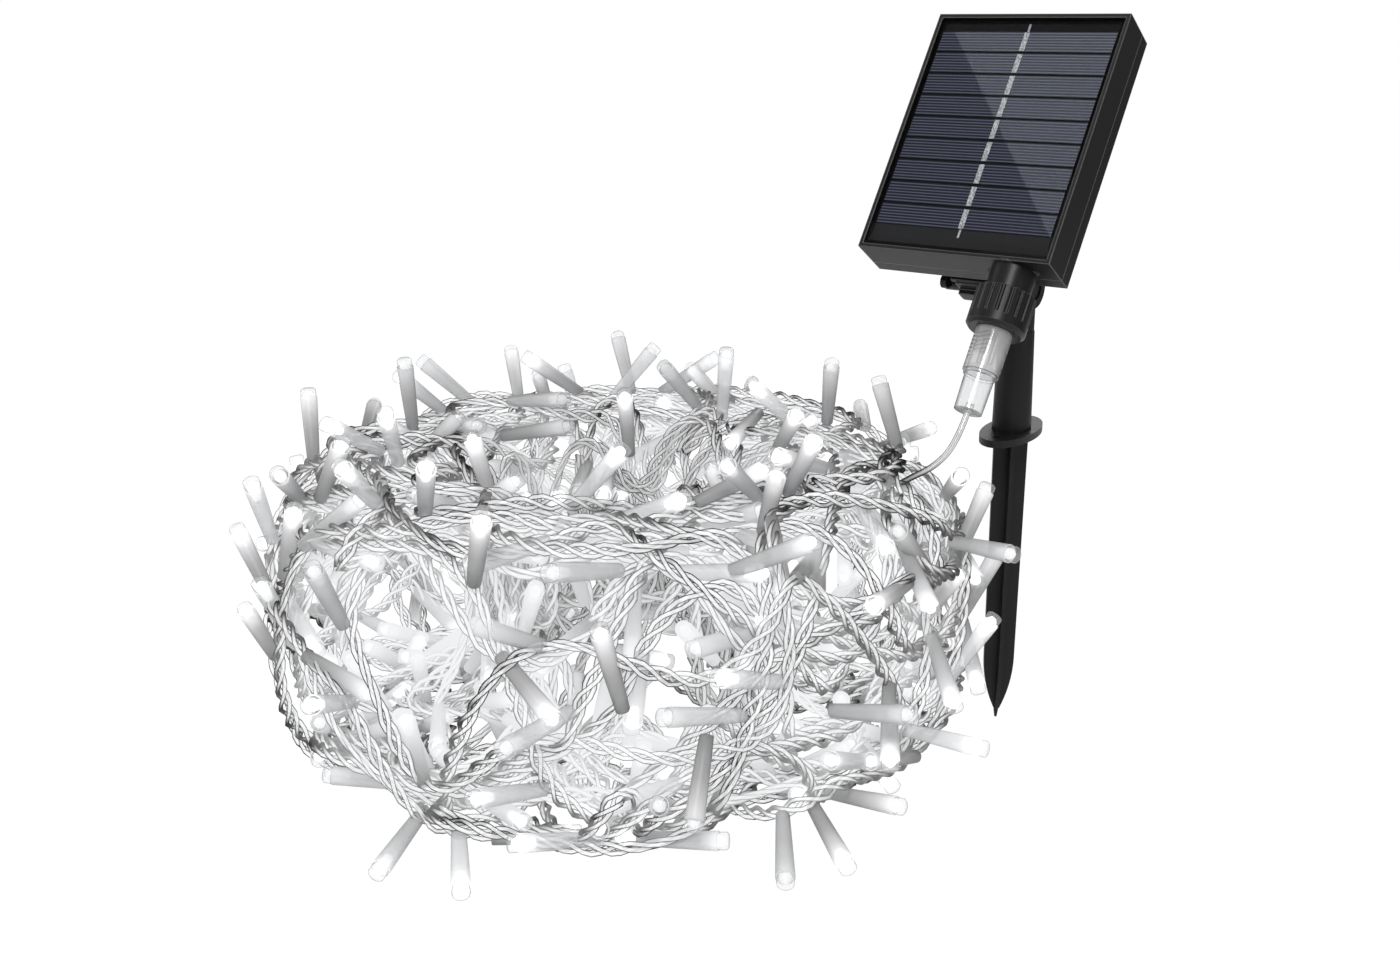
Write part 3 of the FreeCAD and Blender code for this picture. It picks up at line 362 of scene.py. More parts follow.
def mesh_object(name, points, faces, materials, face_slots=None):
    mesh = bpy.data.meshes.new(name)
    points = np.asarray(points, np.float32)
    faces = np.asarray(faces, np.int32)
    mesh.vertices.add(len(points))
    mesh.vertices.foreach_set("co", points.ravel())
    sides = faces.shape[1]
    mesh.loops.add(len(faces) * sides)
    mesh.loops.foreach_set("vertex_index", faces.ravel())
    mesh.polygons.add(len(faces))
    mesh.polygons.foreach_set("loop_start", np.arange(0, len(faces) * sides, sides, dtype=np.int32))
    mesh.polygons.foreach_set("use_smooth", np.ones(len(faces), bool))
    for item in materials:
        mesh.materials.append(item)
    if face_slots is not None:
        mesh.polygons.foreach_set("material_index", np.asarray(face_slots, np.int32))
    mesh.update(calc_edges=True)
    mesh.validate()
    made = bpy.data.objects.new(name, mesh)
    bpy.context.scene.collection.objects.link(made)
    return made


def point_values(made, key, values):
    """Stores one number per point for the materials to read."""
    spot = made.data.attributes.new(key, "FLOAT", "POINT")
    spot.data.foreach_set("value", np.asarray(values, np.float32))


def spline_points(points, resolution):
    """The points of the route's NURBS line."""
    data = bpy.data.curves.new("route", "CURVE")
    data.dimensions = "3D"
    spline = data.splines.new("NURBS")
    spline.points.add(len(points) - 1)
    flat = np.ones((len(points), 4), np.float32)
    flat[:, :3] = points
    spline.points.foreach_set("co", flat.ravel())
    spline.order_u = 3
    spline.use_endpoint_u = True
    spline.resolution_u = resolution
    line = bpy.data.objects.new("route", data)
    bpy.context.scene.collection.objects.link(line)
    bpy.context.view_layer.update()
    mesh = bpy.data.meshes.new_from_object(line)
    made = np.empty(len(mesh.vertices) * 3, np.float32)
    mesh.vertices.foreach_get("co", made)
    bpy.data.objects.remove(line)
    bpy.data.meshes.remove(mesh)
    return made.reshape(-1, 3).astype(float)


def even_steps(line, step):
    """Points a fixed step apart along a line, with each one's distance along it."""
    lengths = np.linalg.norm(np.diff(line, axis=0), axis=1)
    run = np.concatenate([[0], np.cumsum(lengths)])
    places = np.linspace(0, run[-1], max(4, int(round(run[-1] / step)) + 1))
    return np.stack([np.interp(places, run, line[:, k]) for k in range(3)], axis=1), places


def frames_along(line):
    """Two directions square to the line at each of its points, turned as little as possible."""
    tangents = np.gradient(line, axis=0)
    tangents /= np.linalg.norm(tangents, axis=1)[:, None]
    start = np.cross(tangents[0], UP if abs(tangents[0][2]) < 0.9 else np.array([1.0, 0, 0]))
    sides = np.empty_like(line)
    side = start / np.linalg.norm(start)
    for i, t in enumerate(tangents):
        side = side - t * side.dot(t)
        side /= math.sqrt(side.dot(side))
        sides[i] = side
    return tangents, sides, np.cross(tangents, sides)


def ring_faces(rings, ring):
    """Four-sided faces between rings of points that follow each other."""
    rows = np.arange(rings - 1)[:, None] * ring
    here = np.arange(ring)[None, :]
    after = (here + 1) % ring
    corners = [rows + here, rows + after, rows + ring + after, rows + ring + here]
    return np.stack(corners, axis=2).reshape(-1, 4)


def tube_parts(centres, sides, ups, radius, ring, offset):
    """Points and four-sided faces of one closed-ended tube round a line."""
    turn = np.linspace(0, 2 * math.pi, ring, endpoint=False)
    spokes = np.cos(turn)[None, :, None] * sides[:, None, :] + np.sin(turn)[None, :, None] * ups[:, None, :]
    points = (centres[:, None, :] + spokes * radius).reshape(-1, 3)
    last = (len(centres) - 1) * ring
    caps = []
    for first, order in ((0, -1), (last, 1)):
        rim = [first + k for k in range(ring)][::order]
        caps += [[rim[0], rim[k], rim[k + 1], rim[k + 2]] for k in range(1, ring - 2, 2)]
    return points, np.concatenate([ring_faces(len(centres), ring), np.array(caps)]) + offset


def twisted_cord(name, centres, places, material):
    """The string's strands, twisted round its line, now looser and now tighter."""
    _, sides, ups = frames_along(centres)
    spread = STRAND_LAY + waves(places, [(0.4, 9.1, 0.3), (0.35, 23.7, 0.1), (0.25, 5.3, 0.7)]) * MM
    per_strand = len(centres) * STRAND_SIDES
    points, faces = [], []
    for k in range(STRANDS):
        turn = 2 * math.pi * (places / TWIST_PITCH + k / STRANDS)
        shift = sides * np.cos(turn)[:, None] + ups * np.sin(turn)[:, None]
        middle = centres + shift * spread[:, None]
        some, quads = tube_parts(middle, sides, ups, STRAND_RADIUS, STRAND_SIDES, k * per_strand)
        points.append(some)
        faces.append(quads)
    return mesh_object(name, np.concatenate(points), np.concatenate(faces), [material])


# ---- the bundle -----------------------------------------------------------------------------------------

RING_LOW, RING_HIGH = (np.array(corner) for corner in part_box("light_bundle"))
RING_MID = (RING_LOW + RING_HIGH) / 2
RING_HALF = np.array([48, 60]) * MM
RING_CREST = (RING_HIGH[0] - RING_LOW[0]) / 2 - RING_HALF[0]
RING_ROUND = 36 * MM
CORD_WIDE = 4.6 * MM
STRANDS, STRAND_RADIUS, STRAND_SIDES = 3, 0.92 * MM, 6
STRAND_LAY = 1.6 * MM
TWIST_PITCH = 25 * MM
GOLDEN = 137.5


def section_distance(points):
    """How far each point lies outside the ring's section (negative inside), and the way out."""
    flat = points[:, :2] - RING_MID[:2]
    reach = np.linalg.norm(flat, axis=1)
    radial = flat / np.maximum(reach, 1e-9)[:, None]
    q = np.stack([reach - RING_CREST, points[:, 2] - RING_MID[2]], axis=1)
    over = np.abs(q) - (RING_HALF - RING_ROUND)
    outside = np.maximum(over, 0)
    size = np.linalg.norm(outside, axis=1)
    distance = size + np.minimum(over.max(axis=1), 0) - RING_ROUND
    way = np.where(size[:, None] > 1e-9, outside / np.maximum(size, 1e-9)[:, None],
                   np.eye(2)[np.argmax(over, axis=1)]) * np.sign(q)
    out = np.concatenate([radial * way[:, :1], way[:, 1:]], axis=1)
    return distance, out


def outward(point):
    """The level direction from the bundle's middle to a point."""
    flat = (point - RING_MID) * np.array([1.0, 1.0, 0.0])
    return flat / max(np.linalg.norm(flat), 1e-9)


def keep_inside(points, depth):
    """Moves points that are too near the ring's skin, or too low, back into the ring."""
    distance, out = section_distance(points)
    extra = np.maximum(distance + depth, 0)
    points = points - out * extra[:, None]
    points[:, 2] = np.maximum(points[:, 2], CORD_WIDE * 0.62)
    return points


def mark_depth(made):
    """Notes at each point, from 0 to 1, how deep it lies and how far it faces the ring's middle."""
    points = np.empty(len(made.data.vertices) * 3, np.float32)
    made.data.vertices.foreach_get("co", points)
    points = points.reshape(-1, 3).astype(float)
    distance, out = section_distance(points)
    flat = points[:, :2] - RING_MID[:2]
    inward = -(out[:, :2] * flat).sum(axis=1) / np.linalg.norm(flat, axis=1)
    point_values(made, "deep", np.clip((-distance - 6 * MM) / (18 * MM), 0, 1))
    # inner sets how much painted shade a point gets where it faces the ring's middle
    point_values(made, "inner", np.clip(inward * (1.4 + distance / (14 * MM)), 0, 1))


def waves(t, parts):
    """A sum of sine waves, each with its size, its number of waves per unit of t, and its start."""
    return sum(size * np.sin(2 * math.pi * (rate * t + phase)) for size, rate, phase in parts)


def winding(turns, per_turn):
    """Loose turns round the ring, each wandering over its section."""
    t = np.arange(int(turns * per_turn)) / per_turn
    around = 2 * math.pi * t + waves(t, [(0.16, 3.37, 0.1), (0.10, 5.81, 0.45), (0.25, 0.73, 0.8)])
    wander = [(1.5, 0.57, 0.0), (0.95, 1.31, 0.3), (0.62, 2.77, 0.62), (0.4, 6.19, 0.17), (0.2, 10.7, 0.4)]
    section = 2 * math.pi * 0.21 * t + waves(t, wander)
    depth = 0.86 + waves(t, [(0.09, 0.87, 0.2), (0.07, 2.31, 0.5), (0.05, 6.1, 0.9)])
    squeeze = 1 / np.maximum(np.abs(np.cos(section)) ** 4 + np.abs(np.sin(section)) ** 4, 1e-6) ** 0.25
    out = RING_HALF[0] * depth * np.cos(section) * squeeze
    rise = RING_HALF[1] * depth * np.sin(section) * squeeze
    reach = RING_CREST + out
    return np.stack([RING_MID[0] + reach * np.cos(around), RING_MID[1] + reach * np.sin(around),
                     RING_MID[2] + rise], axis=1)


def smooth(points, share):
    """Moves each inner point of a line part of the way to the middle of its neighbours."""
    points[1:-1] += share * ((points[:-2] + points[2:]) / 2 - points[1:-1])


def push_apart(points, gap, rounds, held):
    """Moves points of the line apart where it crosses itself, keeping it smooth and in the ring."""
    along_gap, push_share, smooth_share, held_share, last_rounds = 4, 0.45, 0.22, 0.5, 3
    for _ in range(rounds):
        tree = kdtree.KDTree(len(points))
        for i, p in enumerate(points):
            tree.insert(p, i)
        tree.balance()
        close = ((i, j) for i, p in enumerate(points) for _, j, _ in tree.find_range(p, gap))
        pairs = [(i, j) for i, j in close if j > i + along_gap]
        if pairs:
            a, b = np.array(pairs).T
            way = points[a] - points[b]
            far = np.maximum(np.linalg.norm(way, axis=1), 1e-7)
            push = way * ((gap - far) / far * push_share)[:, None]
            move = np.zeros_like(points)
            np.add.at(move, a, push)
            np.add.at(move, b, -push)
            size = np.maximum(np.linalg.norm(move, axis=1), 1e-9)
            points = points + move * np.minimum(1, gap / size)[:, None]
        smooth(points, smooth_share)
        for index, place in held:
            points[index] += held_share * (place - points[index])
        points = keep_inside(points, CORD_WIDE * 0.6)
    for _ in range(last_rounds):
        smooth(points, 0.5)
    return points


def nearest_free(points, place, taken, gap):
    """The number of the point nearest a place that isn't within `gap` numbers of one taken already."""
    order = np.argsort(np.linalg.norm(points - place, axis=1))
    for index in order:
        if all(abs(index - other) > gap for other in taken):
            return int(index)
    return int(order[0])


# Lamps placed one by one: place round the bundle and round its section, then the way each one leans
# from the section's outward line, all in degrees, as in the frame.
PLACED_LAMPS = [
    (66, 87, 24, 148), (127, 76, 28, 300), (139, 74, 54, 0), (120, 74, 56, 180), (132, 92, 40, 184),
    (154, 72, 38, 252), (93, 107, 16, 248), (196, 90, 10, 8), (218, 90, 58, 320), (195, 64, 70, 200),
    (244, 63, 50, 44), (234, 25, 56, 60), (238, 55, 50, 4), (22, 17, 60, 50), (32, 40, 64, 160),
    (18, -16, 76, 52), (26, -2, 66, 60), (0, 24, 84, 182), (335, 4, 84, 164), (328, 0, 84, 170),
    (342, -2, 26, 30), (354, -1, 62, 232), (304, 2, 38, 192), (300, -17, 48, 144), (307, -53, 84, 160),
    (313, -54, 84, 16), (277, -49, 34, 75), (284, -49, 38, 35), (337, -49, 38, 140), (343, -50, 34, 115),
    (311, 2, 84, 104), (267, 15, 46, 76), (262, 76, 32, 296), (271, 82, 36, 328), (311, 55, 58, 208),
    (289, 44, 30, 52), (144, 147, 48, 60), (133, 148, 46, 76), (20, 94, 68, 148), (6, 26, 76, 140),
    (268, -2, 34, 44), (236, -8, 76, 156), (231, 3, 66, 130), (60, 98, 40, 60), (64, 67, 76, 336),
    (62, 49, 52, 300),
]
FORMULA_LAMPS = 26
LEAD_POINTS = [(9.2, -61.9, 130.7), (2.0, -64.5, 121.5), (-10.0, -61.5, 114.5), (-21.0, -57.0, 107.0)]
LEAD_EXIT = (9.5, -54.71, 141.46)
LAMP_LONG, LAMP_SUNK = 31.5 * MM, 5 * MM


def lamp_line(around, section, lean, spin):
    """Base and direction of a lamp, from its place on the bundle and its lean, all in degrees."""
    around, section, lean, spin = (math.radians(a) for a in (around, section, lean, spin))
    power = 0.72
    c, s = math.cos(section), math.sin(section)
    out = RING_HALF[0] * math.copysign(abs(c) ** power, c)
    rise = RING_HALF[1] * math.copysign(abs(s) ** power, s)
    radial = np.array([math.cos(around), math.sin(around), 0])
    along = np.array([-math.sin(around), math.cos(around), 0])
    normal = radial * c + UP * s
    over = UP * c - radial * s
    base = RING_MID + radial * (RING_CREST + out) + UP * rise - normal * LAMP_SUNK
    way = normal * math.cos(lean) + (along * math.cos(spin) + over * math.sin(spin)) * math.sin(lean)
    return base, way


def standing_lamps():
    """Every lamp that stands out of the bundle, as in the frame."""
    lines = [lamp_line(*placed) for placed in PLACED_LAMPS]
    stake_gap, low, lead_gap, apart = 22 * MM, 8 * MM, 16 * MM, 18 * MM
    lead = [np.array(p) * MM for p in [LEAD_EXIT] + LEAD_POINTS]
    for i in range(FORMULA_LAMPS * 3):
        if len(lines) == len(PLACED_LAMPS) + FORMULA_LAMPS:
            break
        base, way = lamp_line(GOLDEN * i, -20 + 47 * i % 165, 38 + 17 * i % 34, 71 * i % 360)
        tip = base + way * LAMP_LONG
        near_stake = math.hypot(tip[0], tip[1]) < stake_gap or math.hypot(base[0], base[1]) < stake_gap
        near_lead = min(np.linalg.norm(tip - p) for p in lead) < lead_gap
        if tip[2] < low or base[2] < low or near_stake or near_lead:
            continue
        middle = base + way * (LAMP_LONG / 2)
        others = [b + w * (LAMP_LONG * k) for b, w in lines for k in (0.1, 0.5, 0.9)]
        if min(np.linalg.norm(middle - other) for other in others) > apart:
            lines.append((base, way))
    return lines


def lathe(profile, ring):
    """Points and faces of a turned shape; the profile goes from foot to tip."""
    turn = np.linspace(0, 2 * math.pi, ring, endpoint=False)
    points = np.array([(r * math.cos(a), r * math.sin(a), z) for z, r in profile for a in turn])
    return points, ring_faces(len(profile), ring)


def many(name, profile, ring, lines, material):
    """One mesh of the same turned shape at every lamp; the profile is in mm, from foot to tip."""
    points, faces = lathe([(z * MM, r * MM) for z, r in profile], ring)
    whole, quads, reach = [], [], []
    for i, (base, way) in enumerate(lines):
        side = np.cross(way, UP if abs(way[2]) < 0.9 else np.array([1.0, 0, 0]))
        side /= np.linalg.norm(side)
        up = np.cross(way, side)
        whole.append(base + points @ np.stack([side, up, way]))
        quads.append(faces + i * len(points))
        reach.append(points[:, 2] / LAMP_LONG)
    made = mesh_object(name, np.concatenate(whole), np.concatenate(quads), [material])
    point_values(made, "reach", np.concatenate(reach))
    chance = np.random.default_rng(3)
    shares = {"lit": ((0.05, 0.4, 1.1), (0.3, 0.3, 0.4)), "pale": ((0.05, 0.45, 0.9), (0.35, 0.3, 0.35))}
    for key, (levels, odds) in shares.items():
        point_values(made, key, np.repeat(chance.choice(levels, len(lines), p=odds), len(points)))
    mark_depth(made)
    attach(made, "stake")
    return made


SLEEVE_PROFILE = [
    (0.0, 0.5), (0.05, 2.2), (0.5, 2.45), (9, 2.78), (18, 3.1), (27.2, 3.42), (27.9, 3.45), (28.0, 3.2),
    (27.4, 2.9),
]
LENS_PROFILE = [
    (26.5, 2.75), (27.8, 2.85), (28.3, 3.05), (30.4, 3.1), (30.8, 3.02), (31.3, 2.5), (31.5, 1.2),
    (31.5, 0.2),
]
LED_PROFILE = [(22.0, 0.3), (22.2, 1.6), (27.8, 2.1), (29.0, 1.9), (29.9, 1.2), (30.2, 0.2)]


def lamp_pieces(lines):
    """Sleeve, lens and light-emitting chip of every lamp, as one mesh for each of the three."""
    clear = clear_plastic("lens_clear", see=0.9, dark=(0.25, 0.6), thin=0.45, thick=0.95, line=0.7,
                          patch=12.0)
    sleeves = many("string_sleeves", SLEEVE_PROFILE, 14, lines, sleeve_material())
    lenses = many("string_lenses", LENS_PROFILE, 14, lines, clear)
    leds = many("string_leds", LED_PROFILE, 10, lines, glow_material())
    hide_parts("lamp_sleeves")
    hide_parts("lamp_lenses")
    return [sleeves, lenses, leds]


TURNS, STEPS_PER_TURN = 41, 130
STRING_GAP = 4.6 * MM
LAMP_SPACING = 100 * MM
START = np.array(LEAD_POINTS[-1]) * MM


def string_line(standing):
    """The string's route: from the lead's end round and round the ring, past every standing lamp."""
    rough = winding(TURNS, STEPS_PER_TURN)
    rough[0] = START
    rough, _ = even_steps(rough, 6.0 * MM)
    taken = []
    for base, _ in standing:
        taken.append(nearest_free(rough, base, taken, 8))
    held = [(index, base) for index, (base, _) in zip(taken, standing)] + [(0, START)]
    rough = push_apart(rough, STRING_GAP, 28, held)
    return spline_points(rough, 2)


def sticks_out(tip):
    """Whether a lamp inside the bundle would end outside it, or too near the floor."""
    return section_distance(tip[None])[0][0] > 6 * MM or tip[2] < 5 * MM


def inner_lamps(centres, places, standing):
    """The other lamps, evenly spaced along the string and lying in the bundle."""
    tangents = frames_along(centres)[0]
    distance, out = section_distance(centres)
    lines = []
    rng = np.random.default_rng(7)
    for place in np.arange(LAMP_SPACING / 2, places[-1], LAMP_SPACING):
        k = int(np.searchsorted(places, place))
        base = centres[k]
        if min(np.linalg.norm(base - b) for b, _ in standing) < 14 * MM:
            continue
        sign = 1 if rng.random() < 0.5 else -1
        near_skin = float(np.clip(1 + distance[k] / (22 * MM), 0, 1))
        on_inner_wall = -out[k].dot(outward(base)) >= 0.3
        lift = 0.9 * near_skin * rng.random() * (not on_inner_wall)
        way = tangents[k] * sign + out[k] * lift + rng.normal(0, 0.1 if on_inner_wall else 0.28, 3)
        way /= np.linalg.norm(way)
        if sticks_out(base + way * LAMP_LONG):
            way = -way
        if sticks_out(base + way * LAMP_LONG):
            continue
        raised = -5.0 * MM if on_inner_wall else 1.0 * MM
        lines.append((base + out[k] * raised, way))
    lines.append((centres[-1] - tangents[-1] * MM, tangents[-1]))
    return lines


def string_cord():
    """The whole string: its line, its twisted strands and its lamps."""
    standing = standing_lamps()
    line = string_line(standing)
    centres, places = even_steps(line, 3.2 * MM)
    cord = twisted_cord("light_string", centres, places, clear_strand())
    mark_depth(cord)
    pieces = lamp_pieces(standing + inner_lamps(centres, places, standing))
    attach(cord, "stake")
    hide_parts("light_bundle")


def lead():
    """The two-core lead from the plug's boot to the bundle."""
    radius, core_radius, core_off = 1.15 * MM, 0.28 * MM, 0.45 * MM
    route = np.array([LEAD_EXIT] + LEAD_POINTS) * MM
    line = spline_points(route, 12)
    centres, _ = even_steps(line, 0.8 * MM)
    _, sides, ups = frames_along(centres)
    outer, faces = tube_parts(centres, sides, ups, radius, 16, 0)
    points, quads, slots = [outer], [faces], [np.zeros(len(faces))]
    total = len(outer)
    for sign in (-1, 1):
        some, more = tube_parts(centres + sides * sign * core_off, sides, ups, core_radius, 8, total)
        points.append(some)
        quads.append(more)
        slots.append(np.ones(len(more)))
        total += len(some)
    made = mesh_object("lead", np.concatenate(points), np.concatenate(quads),
                       [clear_strand("clear_lead"), conductor()], face_slots=np.concatenate(slots))
    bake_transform(made)
    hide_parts("lead_cable")


# ---- finishes of the frame's own pieces -----------------------------------------------------------------

HINGE = Vector((0, 0, 0.179))
HEAD_TURN = Matrix.Rotation(math.radians(56.5), 3, "X")


def head_point(x, y, z):
    """A point of the panel head, given in mm across, up and out of the panel from the hinge."""
    return HINGE + HEAD_TURN @ (Vector((x, y, z)) * MM)


def head_place(tree):
    """The three distances across, up and out of the panel, in metres, at each shaded point."""
    place = node(tree, "ShaderNodeTexCoord")
    mapped = node(tree, "ShaderNodeMapping", vector_type="POINT")
    back = HEAD_TURN.transposed()
    mapped.inputs["Rotation"].default_value = back.to_euler()
    mapped.inputs["Location"].default_value = -(back @ HINGE)
    tree.links.new(place.outputs["Object"], mapped.inputs["Vector"])
    split = node(tree, "ShaderNodeSeparateXYZ")
    tree.links.new(mapped.outputs["Vector"], split.inputs[0])
    return split.outputs


def two_colors(tree, share, first, second):
    made = node(tree, "ShaderNodeMix", data_type="RGBA")
    tree.links.new(share, made.inputs[0])
    made.inputs[6].default_value = (*first, 1)
    made.inputs[7].default_value = (*second, 1)
    return made.outputs[2]


CELL_TALL, CELL_PITCH, FINGERS = 8.6 * MM, 9.5 * MM, 7
PLUG_X = 9.5 * MM


def cell_foot():
    """How high over the hinge the lowest cell begins, measured along the head."""
    back = HEAD_TURN.transposed()
    return min((back @ (v.co - HINGE)).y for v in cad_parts["solar_cells"].data.vertices)


def backing_material():
    """Black board, a little greyer below the cells: painted light."""
    made, tree, shader = plain_material("black_board", (0.004, 0.004, 0.005), 0.5)
    # painted light: the board's colour is greyer below the lowest cell
    below = combined(tree, "LESS_THAN", head_place(tree)[1], cell_foot())
    color = two_colors(tree, below, (0.004, 0.004, 0.005), (0.022, 0.022, 0.023))
    tree.links.new(color, shader.inputs["Base Color"])
    shader.inputs["Specular IOR Level"].default_value = 0.2
    return made


def cell_material():
    """Dark blue silicon with fine silver fingers across each cell."""
    made, tree, shader = plain_material("solar_cell", (0.01, 0.012, 0.02), 0.35)
    rise = combined(tree, "SUBTRACT", head_place(tree)[1], cell_foot())
    in_cell = combined(tree, "MODULO", rise, CELL_PITCH)
    step = combined(tree, "FRACT", combined(tree, "DIVIDE", in_cell, CELL_TALL / FINGERS))
    off = combined(tree, "ABSOLUTE", combined(tree, "SUBTRACT", step, 0.5))
    finger = ranged(tree, off, 0.1, 0.3, 1, 0, True)
    color = two_colors(tree, finger, (0.002, 0.002, 0.006), (0.09, 0.095, 0.155))
    tree.links.new(color, shader.inputs["Base Color"])
    shader.inputs["Specular IOR Level"].default_value = 0.2
    mirror = node(tree, "ShaderNodeBsdfGlossy", Color=(0.9, 0.95, 1, 1), Roughness=0.02)
    strength = node(tree, "ShaderNodeFresnel", IOR=1.5)
    tree.links.new(mixed(tree, strength.outputs[0], shader.outputs[0], mirror.outputs[0]),
                   tree.nodes["Material Output"].inputs["Surface"])
    return made


def ribbon_material():
    made, tree, shader = plain_material("tinned_ribbon", (0.6, 0.6, 0.6), 0.4, 0.3)
    speck = ranged(tree, noise(tree, 1500.0, 3.0), 0.4, 0.6, 0, 1)
    tree.links.new(two_colors(tree, speck, (0.3, 0.3, 0.31), (0.78, 0.78, 0.8)), shader.inputs["Base Color"])
    return made


def cover_material():
    made = bpy.data.materials.new("clear_cover")
    made.use_nodes = True
    tree = made.node_tree
    tree.nodes.remove(tree.nodes["Principled BSDF"])
    clear = node(tree, "ShaderNodeBsdfTransparent", Color=(0.96, 0.965, 0.97, 1))
    shine = node(tree, "ShaderNodeBsdfGlossy", Color=(1, 1, 1, 1), Roughness=0.03)
    strength = node(tree, "ShaderNodeFresnel", IOR=1.47)
    side = node(tree, "ShaderNodeNewGeometry")
    outer = combined(tree, "SUBTRACT", 1.0, side.outputs["Backfacing"])
    glancing = ranged(tree, strength.outputs[0], 0.05, 1.0, 0, 1)
    share = combined(tree, "MULTIPLY", glancing, outer)
    tree.links.new(mixed(tree, share, clear.outputs[0], shine.outputs[0]),
                   tree.nodes["Material Output"].inputs["Surface"])
    return made


def studio_card(name, corners, strength):
    """A flat glowing card that only shows in reflections."""
    mesh = bpy.data.meshes.new(name)
    mesh.from_pydata(corners, [], [(0, 1, 2, 3)])
    card = bpy.data.objects.new(name, mesh)
    bpy.context.scene.collection.objects.link(card)
    made, _, shader = plain_material(name, (0, 0, 0), 1.0)
    shader.inputs["Specular IOR Level"].default_value = 0
    shader.inputs["Emission Color"].default_value = (1, 1, 1, 1)
    shader.inputs["Emission Strength"].default_value = strength
    mesh.materials.append(made)
    card.visible_camera = card.visible_diffuse = card.visible_shadow = card.visible_transmission = False


def dark_card():
    """A dark card that the right side of the head mirrors in the main view."""
    half, distance = 0.55, 0.6
    eye = bpy.context.scene.camera.location
    out = HEAD_TURN @ Vector((1, 0, 0))
    side_mid = head_point(40, 50, 20)
    seen = (side_mid - eye).normalized()
    toward = seen - 2 * seen.dot(out) * out
    across = toward.cross(Vector((0, 0, 1))).normalized() * half
    upward = across.cross(toward).normalized() * half
    middle = side_mid + distance * toward
    corners = [middle + across * a + upward * b for a, b in ((-1, -1), (1, -1), (1, 1), (-1, 1))]
    studio_card("card_dark", corners, 0.15)


def bright_card():
    """A white card whose edge shows across the cells as a slanting reflection in the main view."""
    cells_out, further = 33, 1.3
    eye = bpy.context.scene.camera.location
    out = HEAD_TURN @ Vector((0, 0, 1))
    seen_in = eye - 2 * (eye - head_point(0, 0, cells_out)).dot(out) * out
    corners = []
    for x, y in ((-67, 118), (43, -19), (110, 60), (60, 190)):
        glass = head_point(x, y, cells_out)
        corners.append(glass + further * (glass - seen_in))
    studio_card("card_white", corners, 1.5)


def plug_material():
    """Clear plug: greyer near the nut, with slanting moulded grips and the two cores showing in it."""
    grip_pitch, grip_share, grip_slant = 1.7 * MM, 0.38, 0.35
    made = clear_plastic("plug_clear", see=0.72, glow=0.14, dark=(0.02, 0.35), thin=0.3, thick=0.85,
                         patch=120.0)
    tree = made.node_tree
    across, rise, _ = head_place(tree)
    side = combined(tree, "SUBTRACT", across, PLUG_X)
    down = combined(tree, "MULTIPLY", rise, -1.0)
    slanted = combined(tree, "MULTIPLY_ADD", side, grip_slant, down)
    step = combined(tree, "FRACT", combined(tree, "DIVIDE", slanted, grip_pitch))
    grip = combined(tree, "LESS_THAN", step, grip_share)
    near = combined(tree, "LESS_THAN", combined(tree, "ABSOLUTE", side), 2.4 * MM)
    low = combined(tree, "GREATER_THAN", down, 32 * MM)
    high = combined(tree, "LESS_THAN", down, 41 * MM)
    in_field = combined(tree, "MULTIPLY", near, combined(tree, "MULTIPLY", low, high))
    grips = combined(tree, "MULTIPLY", grip, in_field)
    near_nut = ranged(tree, down, 30 * MM, 40 * MM, 0.26, 0.03)
    shaded = combined(tree, "MULTIPLY_ADD", grips, 0.4, near_nut)
    grey = node(tree, "ShaderNodeBsdfDiffuse", Color=(0.13, 0.13, 0.135, 1))
    surface = tree.nodes["Material Output"].inputs["Surface"]
    clear = surface.links[0].from_socket
    tree.links.new(mixed(tree, shaded, clear, grey.outputs[0]), surface)
    return made


def foil_material():
    """The battery's crinkled silver pouch."""
    made, tree, shader = plain_material("foil_pouch", (0.6, 0.6, 0.61), 0.35, 0.8)
    bumpy(tree, shader, 180.0, 0.35, 0.0006)
    return made


def foam_material():
    made, tree, shader = plain_material("grey_foam", (0.12, 0.12, 0.13), 0.95)
    grain = bumpy(tree, shader, 1400.0, 0.8, 0.0004)
    mottled(tree, shader, grain, (0.07, 0.07, 0.075), (0.18, 0.18, 0.19))
    return made


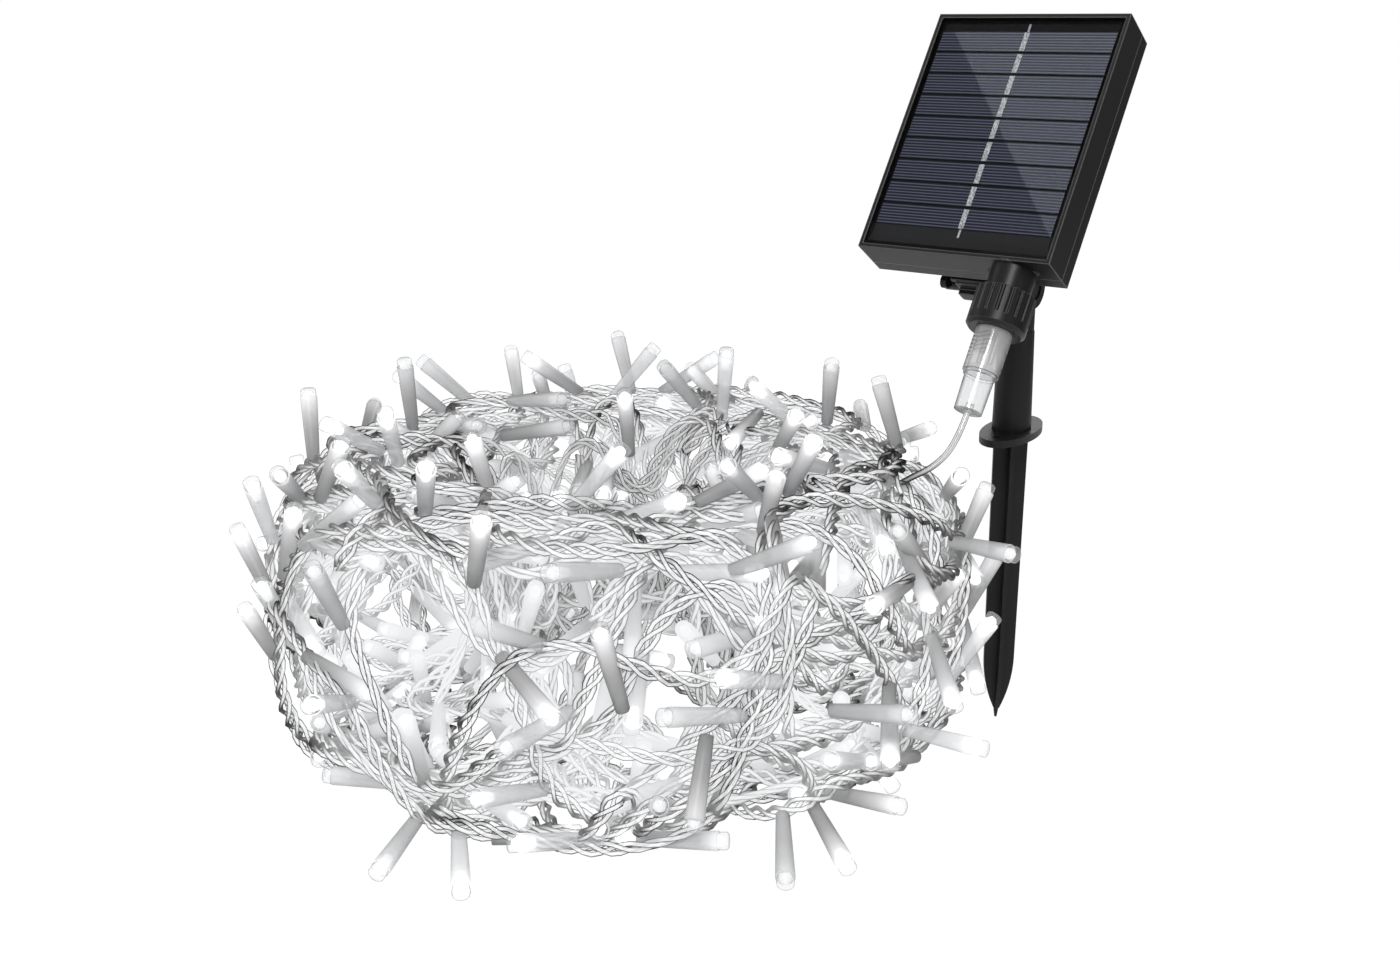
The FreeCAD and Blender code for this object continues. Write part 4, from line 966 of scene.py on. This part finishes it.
def board_material():
    """Green solder mask with paler copper under it."""
    made, tree, shader = plain_material("green_board", (0.01, 0.13, 0.04), 0.3)
    tracks = ranged(tree, noise(tree, 420.0, 1.0), 0.49, 0.52, 0, 1)
    color = two_colors(tree, tracks, (0.008, 0.1, 0.035), (0.02, 0.2, 0.06))
    tree.links.new(color, shader.inputs["Base Color"])
    return made


def finish_nodes():
    chips = moulded_black("chip_black", 0.015, 0.35)
    black = moulded_black("black_shell", 0.006, 0.4, edge=0.9 * MM, shine=0.4)
    socket = moulded_black("black_socket", 0.005, 0.36, strength=0.1, shine=0.4, edge=0.3 * MM)
    stake = moulded_black("black_stake", 0.008, 0.42, shine=0.28)
    rubber = moulded_black("black_rubber", 0.02, 0.75)
    steel, _, _ = plain_material("steel", (0.55, 0.55, 0.57), 0.32, 1.0)
    pins, _, _ = plain_material("tinned_brass", (0.52, 0.49, 0.42), 0.35, 1.0)
    clear = plug_material()
    dark_steel, _, _ = plain_material("dark_steel", (0.06, 0.06, 0.065), 0.4, 0.9)
    by_node = {
        "front_bezel": black, "rear_housing": black, "tilt_lug": black, "connector_socket": socket,
        "coupling_nut": socket, "wing_nut": socket, "socket_lock_ring": socket, "stake_tube": stake,
        "stake_head": stake, "stake_spike": stake, "power_button": rubber, "mode_button": rubber,
        "housing_gasket": rubber, "connector_seal": rubber, "housing_screws": steel, "lug_screws": steel,
        "hinge_bolt": dark_steel, "hinge_washer": dark_steel, "board_screws": steel, "socket_pins": pins,
        "plug_contacts": pins, "solar_backing_board": backing_material(), "solar_cells": cell_material(),
        "busbar_ribbon": ribbon_material(), "plug_body": clear, "plug_boot": clear,
        "panel_cover": cover_material(), "battery_pack": foil_material(), "battery_pad": foam_material(),
        "battery_leads": plain_material("red_wire", (0.55, 0.02, 0.02), 0.4)[0],
        "circuit_board": board_material(), "board_components": chips, "tact_switches": chips,
    }
    for name, made in by_node.items():
        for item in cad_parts[name].material_slots:
            item.material = made


camera()
studio()
string_cord()
lead()
finish_nodes()
bright_card()
dark_card()
